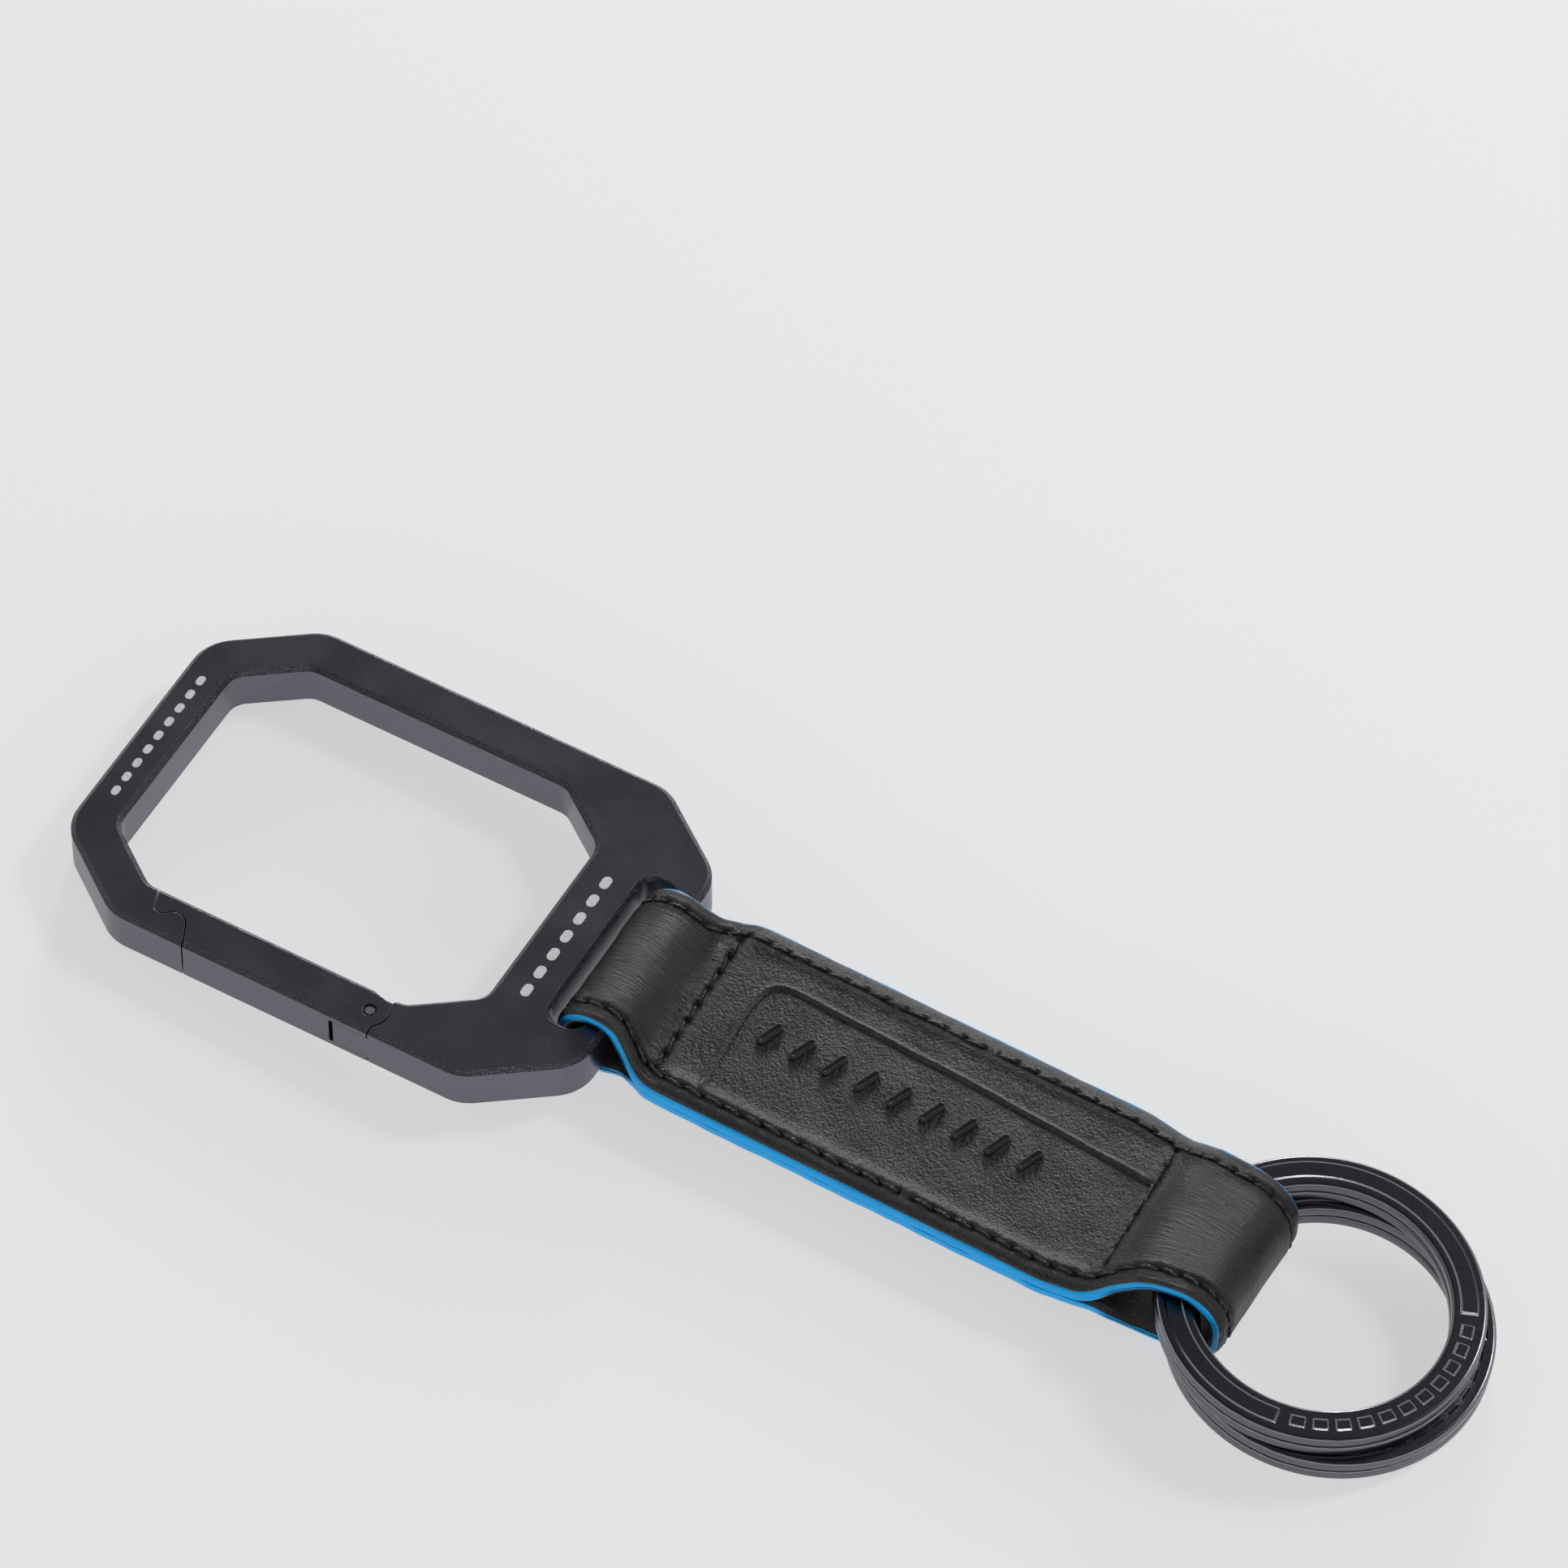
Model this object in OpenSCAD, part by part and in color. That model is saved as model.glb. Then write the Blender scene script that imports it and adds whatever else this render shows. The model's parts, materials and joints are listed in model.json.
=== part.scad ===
// Key organiser: an octagonal spring-gate carabiner, a folded leather strap
// with painted edges, and two flat-wire split rings.
// +X runs from the carabiner to the rings, the gate is on the -Y side and
// z = 0 is the table. The carabiner leans on the leather under its end bar.

/* [Carabiner] */
// Length of the clear opening
opening_l = 39.4; // [33:0.2:48]
// Width of the clear opening
opening_w = 28.7; // [24:0.1:35]
// Width of the two long side bars
side_bar = 4.55; // [3.9:0.05:5.5]
// Width of the bar at the far end, away from the strap
nose_bar = 4.35; // [3.6:0.05:5.5]
// Width of the solid web between the opening and the strap slot
web_w = 5.7; // [4:0.1:9]
// Width of the slot that the leather passes through
slot_w = 3.5; // [3.45:0.05:4.5]
// Length of the straight wall of that slot
slot_l = 18.4; // [17.6:0.1:23]
// Width of the outer bar that the leather wraps
end_bar = 2.2; // [1.8:0.05:2.4]
// Thickness of the plate
plate_t = 5.0; // [4.2:0.1:5.2]
// Cut of each outer corner along X
corner_x = 9.0; // [7:0.1:11]
// Cut of each outer corner along Y
corner_y = 6.6; // [5:0.1:8]
// Cut of each inner corner along X
inner_x = 6.0; // [4.5:0.1:7.5]
// Cut of each inner corner along Y
inner_y = 4.35; // [3.2:0.05:5.5]
// Rounding of the outer corners
corner_r = 4.5; // [2:0.1:5.5]
// Rounding of the inner corners
inner_r = 2.2; // [1:0.1:3]
// Chamfer round every edge of the plate
chamfer = 0.45; // [0.3:0.05:0.7]

/* [Gate] */
// Distance from the hinge pin to the end of the straight bar at the nose
gate_l = 20.4; // [17:0.1:24.4]
// Diameter of the hinge pin
pin_d = 0.9; // [0.7:0.05:1.2]
// Radius of the rounded hinge end of the gate
ear_r = 1.75; // [1.6:0.05:1.9]
// Thickness of each hinge ear
ear_t = 1.0; // [0.8:0.05:1.3]
// Width of the seam between the gate and the frame
seam = 0.15; // [0.1:0.01:0.25]
// Diameter of the spring plunger
plunger_d = 1.7; // [1.3:0.05:2]
// Length of the spring plunger
plunger_l = 4.0; // [3:0.1:5]
// Free length of the spring at rest
spring_l = 7.2; // [5:0.1:9]
// Diameter of the spring wire
spring_wire = 0.25; // [0.2:0.01:0.3]
// Opening angle of the gate as drawn, for trying its travel
gate_angle = 0; // [0:1:45]

/* [Strap] */
// Length of the glued panel between the two loops
panel_l = 46.4; // [38:0.1:60]
// Width of the panel over its painted edges
strap_w = 21.4; // [18:0.1:25]
// Thickness of one layer of leather
leather_t = 1.3; // [1.2:0.05:1.5]
// Thickness of the stiffener between the layers
core_t = 0.4; // [0.3:0.05:1]
// Thickness of the edge paint
paint_t = 0.25; // [0.15:0.05:0.4]
// Width of the loop round the end bar
bar_loop_w = 16.8; // [14:0.1:17.2]
// Width of the loop round the rings
ring_loop_w = 15.4; // [12:0.1:17]
// Distance of the stitching from the edge
stitch_inset = 1.65; // [1.2:0.05:2.5]
// Spacing of the stitches
stitch_pitch = 2.4; // [2:0.1:3.5]
// Length of one stitch
stitch_l = 1.8; // [1.4:0.1:1.9]
// Diameter of the thread
thread_d = 0.3; // [0.2:0.05:0.35]

/* [Raised bars] */
// Number of raised bars on the panel
raised_n = 9; // [3:1:11]
// Spacing of the raised bars
raised_pitch = 3.4; // [2.4:0.1:3.8]
// Length of each raised bar
raised_l = 3.0; // [2:0.1:5]
// Width of each raised bar
raised_w = 0.9; // [0.6:0.05:1.4]
// Height of each raised bar
raised_h = 0.4; // [0.2:0.05:0.6]

/* [Split rings] */
// Outer diameter of a split ring
ring_d = 30; // [26:0.5:38]
// Width of the flat wire
wire_w = 3.25; // [2.2:0.05:3.4]
// Thickness of the flat wire
wire_t = 1.3; // [1.1:0.01:1.4]
// Rounding of the wire's edges
wire_r = 0.38; // [0.1:0.02:0.5]
// Gap between the two turns of a ring
turn_gap = 0.04; // [0.03:0.01:0.1]
// Play of the lower ring inside the loop
lower_play = 0.6; // [0.6:0.1:2]
// Play of the upper ring inside the loop
upper_play = 2.0; // [1.5:0.1:3.5]

/* [Hidden] */

$fn = 64;
eps = 0.01;
run_gap = 0.05;      // radial running clearance of pin and plunger
soft_gap = 0.2;      // room between leather and metal
ring_gap = 0.08;     // room between the two split rings
arc_n = 10;          // straight steps in a rounded corner

// Carabiner in its own axes: the origin is the middle of the end bar.
frame_l = nose_bar + opening_l + web_w + slot_w + end_bar;
frame_w = opening_w + 2 * side_bar;
frame_right = end_bar / 2;
frame_left = frame_right - frame_l;
open_left = frame_left + nose_bar;
open_right = open_left + opening_l;
slot_right = -end_bar / 2;
slot_left = slot_right - slot_w;
bar_y = -(opening_w + side_bar) / 2;      // middle of the gate's bar
slot_chamfer = chamfer * 0.8;

// Hinge and nose of the gate
pin_x = open_right - inner_x - 2.3;
nose_x = pin_x - gate_l;
tongue_t = plate_t - 2 * ear_t - 2 * run_gap;
tongue_x = 2.66;     // reach of the tongue past the pin, on the outer side
pocket_x = 3.1;      // end wall of the gate's pocket, past the pin
cam_r = 2.3;         // cam at the tip of the tongue
cam_off = 0.5;       // the cam's centre lies this far inward of the pin
cam_reach = sqrt(cam_r * cam_r - cam_off * cam_off);
plunger_tip = cam_reach + run_gap;
spring_start = plunger_tip + plunger_l;
bore_end = spring_start + spring_l + 0.1;

// Strap in its own axes: the origin is again the middle of the end bar.
half_t = leather_t + core_t / 2;
bar_diag = norm([end_bar / 2 - chamfer, plate_t / 2]);
wrap_in = max(bar_diag, norm([end_bar / 2, plate_t / 2 - chamfer])) + soft_gap;
wrap_out = wrap_in + leather_t;
split_x = wrap_in * 1.55;
panel_x0 = split_x + 0.9;
panel_x1 = panel_x0 + panel_l;
flex_gap = 0.45;
seat_r = half_t + flex_gap;
flex_x = panel_x1 + sqrt(seat_r * seat_r - half_t * half_t);

// Heights above the table
bar_z = wrap_out;
lean_l = -(frame_left + chamfer);
lean = asin(bar_z / norm([lean_l, plate_t / 2])) - atan2(plate_t / 2, lean_l);

// Rings and the loop that holds them, in the strap's axes
ring_t = 2 * wire_t + turn_gap;
ring_r = ring_d / 2;
ring_in = ring_r - wire_w;
loop_y = ring_loop_w / 2;
ring_chord = sqrt(ring_in * ring_in - loop_y * loop_y);
upper_left = flex_x + 2.35;
upper_x = upper_left + ring_r;
lower_x = upper_x + (upper_play - lower_play);
fold_in_x = upper_x - ring_chord + upper_play;
lower_y = -0.1;
fold_bottom_r = 2.0;
lower_in_x = lower_x - ring_chord;
contact_x = max(0, lower_in_x - (fold_in_x - fold_bottom_r));
contact_z = leather_t + fold_bottom_r
    - sqrt(max(0.01, fold_bottom_r * fold_bottom_r - contact_x * contact_x)) + soft_gap / 2;
ring_tilt = asin(contact_z / (ring_r - wire_r + ring_chord));
lower_z = (ring_r - wire_r) * sin(ring_tilt) + wire_r * (1 - cos(ring_tilt));
step_z = ring_t + ring_gap;
stack_top = lower_z + (step_z + ring_t) * cos(ring_tilt) + ring_r * sin(ring_tilt)
    + (upper_play - lower_play) * sin(ring_tilt);
loop_top = stack_top + soft_gap - bar_z;        // inner height over the mid-plane
loop_bottom = leather_t - bar_z;                // inner height under it
fold_top_r = 3.0;
loop_left = upper_left - soft_gap;
rise_l = 3.2;

// Whole object, for an origin at the middle of its base
left_reach = -frame_left * cos(lean) + (plate_t / 2 - chamfer) * sin(lean);
right_reach = lower_x + ring_r * cos(ring_tilt) + ring_t * 0.5 * sin(ring_tilt);
mid_x = (right_reach - left_reach) / 2;

// ---- outlines -------------------------------------------------------------
function arc(c, r, a0, a1, n = arc_n) =
    [for (i = [0:n]) c + r * [cos(a0 + (a1 - a0) * i / n), sin(a0 + (a1 - a0) * i / n)]];

function unit(v) = v / norm(v);

// A convex outline, listed anticlockwise, with every corner rounded to r.
function rounded(p, r, n = arc_n) = [
    for (i = [0:len(p) - 1])
        let (a = p[(i + len(p) - 1) % len(p)], b = p[i], c = p[(i + 1) % len(p)])
        let (u = unit(a - b), v = unit(c - b))
        let (half = acos(u * v) / 2, m = b + unit(u + v) * r / sin(half))
        let (start = b + u * r / tan(half), stop = b + v * r / tan(half))
        let (s0 = atan2(start[1] - m[1], start[0] - m[0]))
        let (s1 = atan2(stop[1] - m[1], stop[0] - m[0]))
        let (turn = s1 < s0 ? s1 + 360 : s1)
        each arc(m, r, s0, turn, n)];

// An eight-sided outline from x0 to x1, w wide, with corners cut by cx and cy,
// grown outward by g.
function octagon(x0, x1, w, cx, cy, g = 0) =
    let (k = g * (norm([cx, cy]) - cy) / cx, m = g * (norm([cx, cy]) - cx) / cy)
    let (a = x0 - g, b = x1 + g, y = w / 2 + g)
    let (dx = cx + g - k, dy = cy + g - m)
    [[b, -y + dy], [b, y - dy], [b - dx, y], [a + dx, y],
     [a, y - dy], [a, -y + dy], [a + dx, -y], [b - dx, -y]];

function slot_outline(g = 0) =
    [[slot_left - g, -slot_l / 2 - g], [slot_right + g, -slot_l / 2 - g],
     [slot_right + g, slot_l / 2 + g], [slot_left - g, slot_l / 2 + g]];

module plate(outline, z0, z1) {
    translate([0, 0, z0]) linear_extrude(height = z1 - z0) polygon(outline);
}

// A cutter that widens from one outline at z0 to another at z1.
module flare(inner, outer, z0, z1) {
    s = sign(z1 - z0);
    hull() {
        translate([0, 0, z0 - eps / 2]) linear_extrude(height = eps) polygon(inner);
        translate([0, 0, z1 + s * chamfer - eps / 2]) linear_extrude(height = eps) polygon(outer);
    }
}

module opening_cut() {
    core = rounded(octagon(open_left, open_right, opening_w, inner_x, inner_y), inner_r);
    wide = rounded(octagon(open_left, open_right, opening_w, inner_x, inner_y, 2 * chamfer),
                   inner_r + 2 * chamfer);
    top = plate_t / 2;
    plate(core, -top - 1, top + 1);
    flare(core, wide, top - chamfer, top);
    flare(core, wide, -top + chamfer, -top);
}

module slot_cut() {
    core = rounded(slot_outline(), 1.4);
    wide = rounded(slot_outline(slot_chamfer + chamfer), 1.4 + slot_chamfer + chamfer);
    top = plate_t / 2;
    plate(core, -top - 1, top + 1);
    flare(core, wide, top - slot_chamfer, top);
    flare(core, wide, -top + slot_chamfer, -top);
}

// The whole chamfered ring of metal, before the gate is cut out of it.
module metal_ring(with_slot = true) {
    outer = octagon(frame_left, frame_right, frame_w, corner_x, corner_y);
    inset = octagon(frame_left, frame_right, frame_w, corner_x, corner_y, -chamfer);
    top = plate_t / 2;
    difference() {
        hull() {
            plate(rounded(outer, corner_r), -top + chamfer, top - chamfer);
            plate(rounded(inset, corner_r - chamfer), -top, top);
        }
        opening_cut();
        if (with_slot) slot_cut();
    }
}

// ---- gate -----------------------------------------------------------------
// The same line moved to its left by d, for a seam of even width.
function beside(p, d) = [
    for (i = [0:len(p) - 1])
        let (u = unit(p[max(i, 1)] - p[max(i, 1) - 1]))
        let (v = unit(p[min(i, len(p) - 2) + 1] - p[min(i, len(p) - 2)]))
        let (m = unit(u + v))
        p[i] + d / (m * u) * [-m[1], m[0]]];

// The seam at the nose, from the inner edge of the bar to its outer edge:
// the gate's tooth hooks behind a small bump on the frame's lip.
function nose_line(d) = beside([
    for (p = [[-3.6, 3.6], [-3.55, 2.3], [-2.85, 0.35], [-2.62, -0.02], [-2.3, -0.15],
              [-1.85, -0.15], [-1.55, 0], [-1.25, 0.35], [-0.95, 0.56], [-0.6, 0.62],
              [0, 0.6], [0.5, 0.3], [0.85, -0.2], [1.5, -1.7], [1.9, -3.4]])
        [nose_x + p[0], bar_y + p[1]]], d);

// The rounded end at the hinge, from the outer edge to the inner edge. It is
// one arc about the pin, so it stays clear of the frame as the gate opens.
ear_low = -50;       // where the arc meets the seam to the outer edge
ear_high = 45;       // where the frame's inner corner meets the arc
heel = 0.9;          // length of the cut at the gate's inner corner

module gate_zone() {
    line = concat(
        [[pin_x + heel, bar_y - 3.4], [pin_x + heel, bar_y - side_bar / 2]],
        arc([pin_x, bar_y], ear_r, ear_low, 90, 20),
        [[pin_x - heel, bar_y + side_bar / 2], [pin_x - heel, bar_y + 3.6]]);
    plate(concat(line, nose_line(seam / 2)), -plate_t, plate_t);
}

// What the frame loses for the gate. The frame's corner at the hinge stays.
module gate_recess() {
    r = ear_r + seam;
    corner = pin_x + r * cos(ear_high) + 0.35;
    line = concat(
        [[pin_x + heel + seam, bar_y - 3.4], [pin_x + heel + seam, bar_y - side_bar / 2]],
        arc([pin_x, bar_y], r, ear_low, ear_high, 18),
        [[corner, bar_y + side_bar / 2 + 0.02], [corner, bar_y + 3.6]]);
    plate(concat(line, nose_line(-seam / 2)), -plate_t, plate_t);
}

// The frame's tongue between the two ears, with the cam at its tip.
module tongue() {
    h = tongue_t / 2;
    intersection() {
        union() {
            plate([[pin_x - tongue_x, bar_y - side_bar / 2], [pin_x + 3.2, bar_y - side_bar / 2],
                   [pin_x + 3.2, bar_y - 0.9], [pin_x - tongue_x, bar_y - 0.9]], -h, h);
            translate([pin_x, bar_y + cam_off, -h]) cylinder(r = cam_r, h = 2 * h);
            plate([[pin_x, bar_y - side_bar / 2], [pin_x + 3.2, bar_y - side_bar / 2],
                   [pin_x + 3.2, bar_y + 1.6], [pin_x, bar_y + 1.6]], -h, h);
        }
        translate([pin_x - 4, bar_y - side_bar / 2, -plate_t]) cube([8, side_bar, 2 * plate_t]);
    }
}

module carabiner_frame() {
    color("#2b2b33") in_carabiner() difference() {
        union() {
            difference() {
                metal_ring();
                gate_recess();
            }
            tongue();
        }
        translate([pin_x, bar_y, -plate_t]) cylinder(d = pin_d + 2 * run_gap, h = 2 * plate_t);
    }
}

module gate() {
    h = plate_t / 2 - ear_t;
    color("#2b2b33") in_carabiner() at_gate_angle() difference() {
        intersection() {
            metal_ring(with_slot = false);
            gate_zone();
        }
        // pocket for the tongue
        translate([pin_x - pocket_x, bar_y - 4, -h]) cube([9, 8, 2 * h]);
        // bore for the plunger and its spring
        translate([pin_x - bore_end, bar_y, 0]) rotate([0, 90, 0])
            cylinder(d = plunger_d + 2 * run_gap, h = bore_end);
        // pin hole, countersunk at both ends
        translate([pin_x, bar_y, -plate_t]) cylinder(d = pin_d + 2 * run_gap, h = 2 * plate_t);
        for (s = [0, 1]) mirror([0, 0, s]) translate([pin_x, bar_y, plate_t / 2 - 0.25])
            cylinder(d = pin_d + 0.55, h = 1);
    }
}

module gate_pin() {
    color("silver") in_carabiner() translate([pin_x, bar_y, -plate_t / 2 + 0.1])
        cylinder(d = pin_d, h = plate_t - 0.2);
}

module gate_plunger() {
    r = plunger_d / 2;
    color("silver") in_carabiner() at_gate_angle() translate([pin_x, bar_y, 0])
        rotate([0, -90, 0]) rotate_extrude()
            polygon(concat([[0, plunger_tip]], [for (a = [10:10:90])
                [r * sin(a), plunger_tip + r * (1 - cos(a))]], [[r, spring_start], [0, spring_start]]));
}

// A closed tube swept along the points p, with m sides.
module swept(p, r, m) {
    n = len(p);
    rings = [for (i = [0:n - 1])
        let (t = unit(p[min(i + 1, n - 1)] - p[max(i - 1, 0)]))
        let (u = unit(cross(t, [1, 0, 0])), v = cross(t, u))
        for (j = [0:m - 1]) p[i] + r * (cos(360 * j / m) * u + sin(360 * j / m) * v)];
    sides = [for (i = [0:n - 2], j = [0:m - 1])
        [i * m + j, i * m + (j + 1) % m, (i + 1) * m + (j + 1) % m, (i + 1) * m + j]];
    polyhedron(rings, concat(sides, [[for (j = [m - 1:-1:0]) j]],
                             [[for (j = [0:m - 1]) (n - 1) * m + j]]));
}

module gate_spring() {
    turns = 9;
    steps = 14;
    coil_r = plunger_d / 2 - 0.05 - spring_wire / 2;
    length = spring_l - spring_wire - 0.1;
    start = spring_start + 0.05 + spring_wire / 2;
    coil = [for (i = [0:turns * steps]) let (a = 360 * i / steps)
        [pin_x - start - length * i / (turns * steps),
         bar_y + coil_r * cos(a), coil_r * sin(a)]];
    color("silver") in_carabiner() at_gate_angle() swept(coil, spring_wire / 2, 6);
}

// ---- strap ----------------------------------------------------------------
module side_extrude(w) {
    rotate([90, 0, 0]) linear_extrude(height = w, center = true) children();
}

// Paint on both sides of a loop: two thin plates with the loop's own profile.
module side_plates(w) {
    for (s = [-1, 1]) translate([0, s * (w - paint_t) / 2, 0]) side_extrude(paint_t) children();
}

module bar_loop_profile() {
    lead = acos(wrap_in / split_x);
    neck = 52;
    tip = [wrap_in * cos(lead), wrap_in * sin(lead)];
    difference() {
        union() {
            circle(r = wrap_out);
            polygon([wrap_out * [cos(neck), sin(neck)], [0, 0], wrap_out * [cos(neck), -sin(neck)],
                     [panel_x0 - 0.6, -half_t], [panel_x0, -half_t],
                     [panel_x0, half_t], [panel_x0 - 0.6, half_t]]);
        }
        circle(r = wrap_in);
        polygon([[0, 0], [tip[0], -tip[1]], [split_x, 0], tip]);
    }
}

// Smooth rise from height a to height b over the share t of the way.
function rise(a, b, t) = a + (b - a) * (1 - cos(180 * t)) / 2;

module ring_loop_profile() {
    top = loop_top + leather_t;
    bottom = loop_bottom - leather_t;
    right = fold_in_x + leather_t;
    rt = fold_top_r + leather_t;
    rb = fold_bottom_r + leather_t;
    steps = 8;
    difference() {
        polygon(concat(
            [for (i = [0:steps]) [flex_x + rise_l * i / steps, rise(-half_t, bottom, i / steps)]],
            arc([right - rb, bottom + rb], rb, 270, 360),
            arc([right - rt, top - rt], rt, 0, 90),
            [for (i = [steps:-1:0]) [flex_x + rise_l * i / steps, rise(half_t, top, i / steps)]],
            arc([flex_x, 0], half_t, 90, 270, 16)));
        polygon(concat(
            arc([loop_left + 1, loop_bottom + 1.5], 1, 180, 250),
            arc([fold_in_x - fold_bottom_r, loop_bottom + fold_bottom_r], fold_bottom_r, 270, 360),
            arc([fold_in_x - fold_top_r, loop_top - fold_top_r], fold_top_r, 0, 90),
            arc([loop_left + 0.4, loop_top - 0.4], 0.4, 90, 180)));
    }
}

module panel(z0, z1, w, seat = true) {
    difference() {
        translate([panel_x0, -w / 2, z0]) cube([flex_x - panel_x0, w, z1 - z0]);
        if (seat) translate([flex_x, 0, 0]) rotate([90, 0, 0])
            cylinder(r = seat_r, h = 2 * strap_w, center = true);
    }
}

module front_leather() {
    color("#232325") in_strap() panel(core_t / 2, half_t, strap_w - 2 * paint_t);
}

module back_leather() {
    color("#232325") in_strap() panel(-half_t, -core_t / 2, strap_w - 2 * paint_t);
}

module stiffener() {
    color("#6b5a44") in_strap() panel(-core_t / 2, core_t / 2, strap_w - 2 * paint_t);
}

module bar_loop_leather() {
    color("#232325") in_strap() side_extrude(bar_loop_w - 2 * paint_t) bar_loop_profile();
}

module ring_loop_leather() {
    color("#232325") in_strap() side_extrude(ring_loop_w - 2 * paint_t) ring_loop_profile();
}

module edge_paint(side) {
    color("#0f9fe3") in_strap() translate([0, side * (strap_w - paint_t) / 2, 0])
        panel(-half_t, half_t, paint_t);
}

module bar_loop_paint() {
    color("#0f9fe3") in_strap() side_plates(bar_loop_w) bar_loop_profile();
}

module ring_loop_paint() {
    color("#0f9fe3") in_strap() side_plates(ring_loop_w) ring_loop_profile();
}

// One stitch, lying on a surface, along X or along Y.
module stitch(along_y = false) {
    translate([0, 0, thread_d / 2]) rotate([0, 0, along_y ? 90 : 0]) rotate([0, 90, 0])
        cylinder(d = thread_d, h = stitch_l, center = true, $fn = 16);
}

row_l = panel_l - 2;
row_n = floor(row_l / stitch_pitch);
cross_n = floor((strap_w - 2 * stitch_inset - 1) / stitch_pitch);

module long_row(side) {
    for (f = [0, 1], i = [0:row_n - 1]) mirror([0, 0, f])
        translate([panel_x0 + panel_l / 2 + (i - (row_n - 1) / 2) * stitch_pitch,
                   side * (strap_w / 2 - stitch_inset), half_t]) stitch();
}

module cross_row(x) {
    for (f = [0, 1], i = [0:cross_n - 1]) mirror([0, 0, f])
        translate([x, (i - (cross_n - 1) / 2) * stitch_pitch, half_t]) stitch(true);
}

module stitching_near() {
    color("#111113") in_strap() long_row(-1);
}

module stitching_far() {
    color("#111113") in_strap() long_row(1);
}

module stitching_bar_row() {
    color("#111113") in_strap() cross_row(panel_x0 + 0.45);
}

module stitching_ring_row() {
    color("#111113") in_strap() cross_row(panel_x1 - 0.45);
}

// Edge rows over the loops: a few stitches round the outside of each fold.
module bar_loop_stitching() {
    chord = wrap_out + thread_d / 2;
    color("#111113") in_strap() for (s = [-1, 1], a = [75, 110])
        translate([0, s * (bar_loop_w / 2 - stitch_inset), 0])
            rotate([0, -a, 0]) translate([chord, 0, 0])
                cylinder(d = thread_d, h = stitch_l - 0.2, center = true, $fn = 16);
}

module ring_loop_stitching() {
    x0 = flex_x + rise_l + 0.9;
    x1 = fold_in_x + leather_t - fold_top_r - leather_t;
    n = max(1, floor((x1 - x0) / stitch_pitch));
    color("#111113") in_strap() for (s = [-1, 1], i = [0:n - 1])
        translate([x0 + stitch_l / 2 + i * stitch_pitch, s * (ring_loop_w / 2 - stitch_inset),
                   loop_top + leather_t]) stitch();
}

// Plain slanted bars stand for the pressed decoration on the panel.
module raised_bars() {
    mid = panel_x0 + panel_l * 0.475;
    color("#1c1c1e") in_strap() for (i = [0:raised_n - 1])
        translate([mid + (i - (raised_n - 1) / 2) * raised_pitch, 0, half_t])
            rotate([0, 0, -20]) linear_extrude(height = raised_h) union() {
                square([raised_w, raised_l - raised_w], center = true);
                for (s = [-1, 1]) translate([0, s * (raised_l - raised_w) / 2])
                    circle(d = raised_w, $fn = 24);
            }
}

// ---- split rings ----------------------------------------------------------
// The wire's section standing on z0, with g taken off all round.
function wire_section(z0, g = 0) =
    let (a = ring_in + g, b = ring_r - g, c = z0 + g, t = wire_t - 2 * g, r = wire_r - g)
    concat(arc([b - r, c + r], r, -90, 0, 4), arc([b - r, c + t - r], r, 0, 90, 4),
           arc([a + r, c + t - r], r, 90, 180, 4), arc([a + r, c + r], r, 180, 270, 4));

// A flat wire wound two turns. The lower turn climbs to the upper one over a
// short ramp, and both wire ends stop next to the ramp.
module split_ring(start) {
    ramp = 16;       // degrees that the climb takes
    up = wire_t + turn_gap;
    end_gap = 1;     // degrees between the ramp and each wire end
    turn = 360 - ramp - end_gap;
    rotate([0, 0, start]) {
        rotate_extrude(angle = turn) polygon(wire_section(0));
        rotate([0, 0, end_gap]) rotate_extrude(angle = turn) polygon(wire_section(up));
        climb(turn - 0.3, 360 + end_gap + 0.3, up);
    }
}

// The ramp: the wire's section carried from the angle a0 up to a1.
module climb(a0, a1, up) {
    steps = 8;
    flat = wire_section(0, 0.01);
    m = len(flat);
    points = [for (i = [0:steps], p = flat)
        let (a = a0 + (a1 - a0) * i / steps)
        [p[0] * cos(a), p[0] * sin(a), p[1] + rise(0, up, i / steps)]];
    walls = [for (i = [0:steps - 1], j = [0:m - 1])
        let (k = (j + 1) % m, q = i * m, r = i * m + m)
        each [[q + j, r + k, r + j], [q + j, q + k, r + k]]];
    polyhedron(points, concat(walls, [[for (j = [m - 1:-1:0]) j]],
                              [[for (j = [0:m - 1]) steps * m + j]]));
}

module lower_split_ring() {
    color("#2a2a31") in_strap_axes() translate([lower_x, lower_y, lower_z])
        rotate([0, ring_tilt, 0]) split_ring(200);
}

module upper_split_ring() {
    color("#2a2a31") in_strap_axes() translate([lower_x, lower_y, lower_z])
        rotate([0, ring_tilt, 0])
            translate([-(upper_play - lower_play), -lower_y, step_z]) split_ring(188);
}

// ---- places ---------------------------------------------------------------
module in_strap_axes() {
    translate([-mid_x, 0, 0]) children();
}

module in_strap() {
    translate([-mid_x, 0, bar_z]) children();
}

module in_carabiner() {
    translate([-mid_x, 0, bar_z]) rotate([0, -lean, 0]) children();
}

module at_gate_angle() {
    translate([pin_x, bar_y, 0]) rotate([0, 0, -gate_angle]) translate([-pin_x, -bar_y, 0])
        children();
}

carabiner_frame();
gate();
gate_pin();
gate_plunger();
gate_spring();
front_leather();
back_leather();
stiffener();
bar_loop_leather();
ring_loop_leather();
edge_paint(-1);  // edge_paint_near
edge_paint(1);  // edge_paint_far
bar_loop_paint();
ring_loop_paint();
stitching_near();
stitching_far();
stitching_bar_row();
stitching_ring_row();
bar_loop_stitching();
ring_loop_stitching();
raised_bars();
upper_split_ring();
lower_split_ring();
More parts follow.
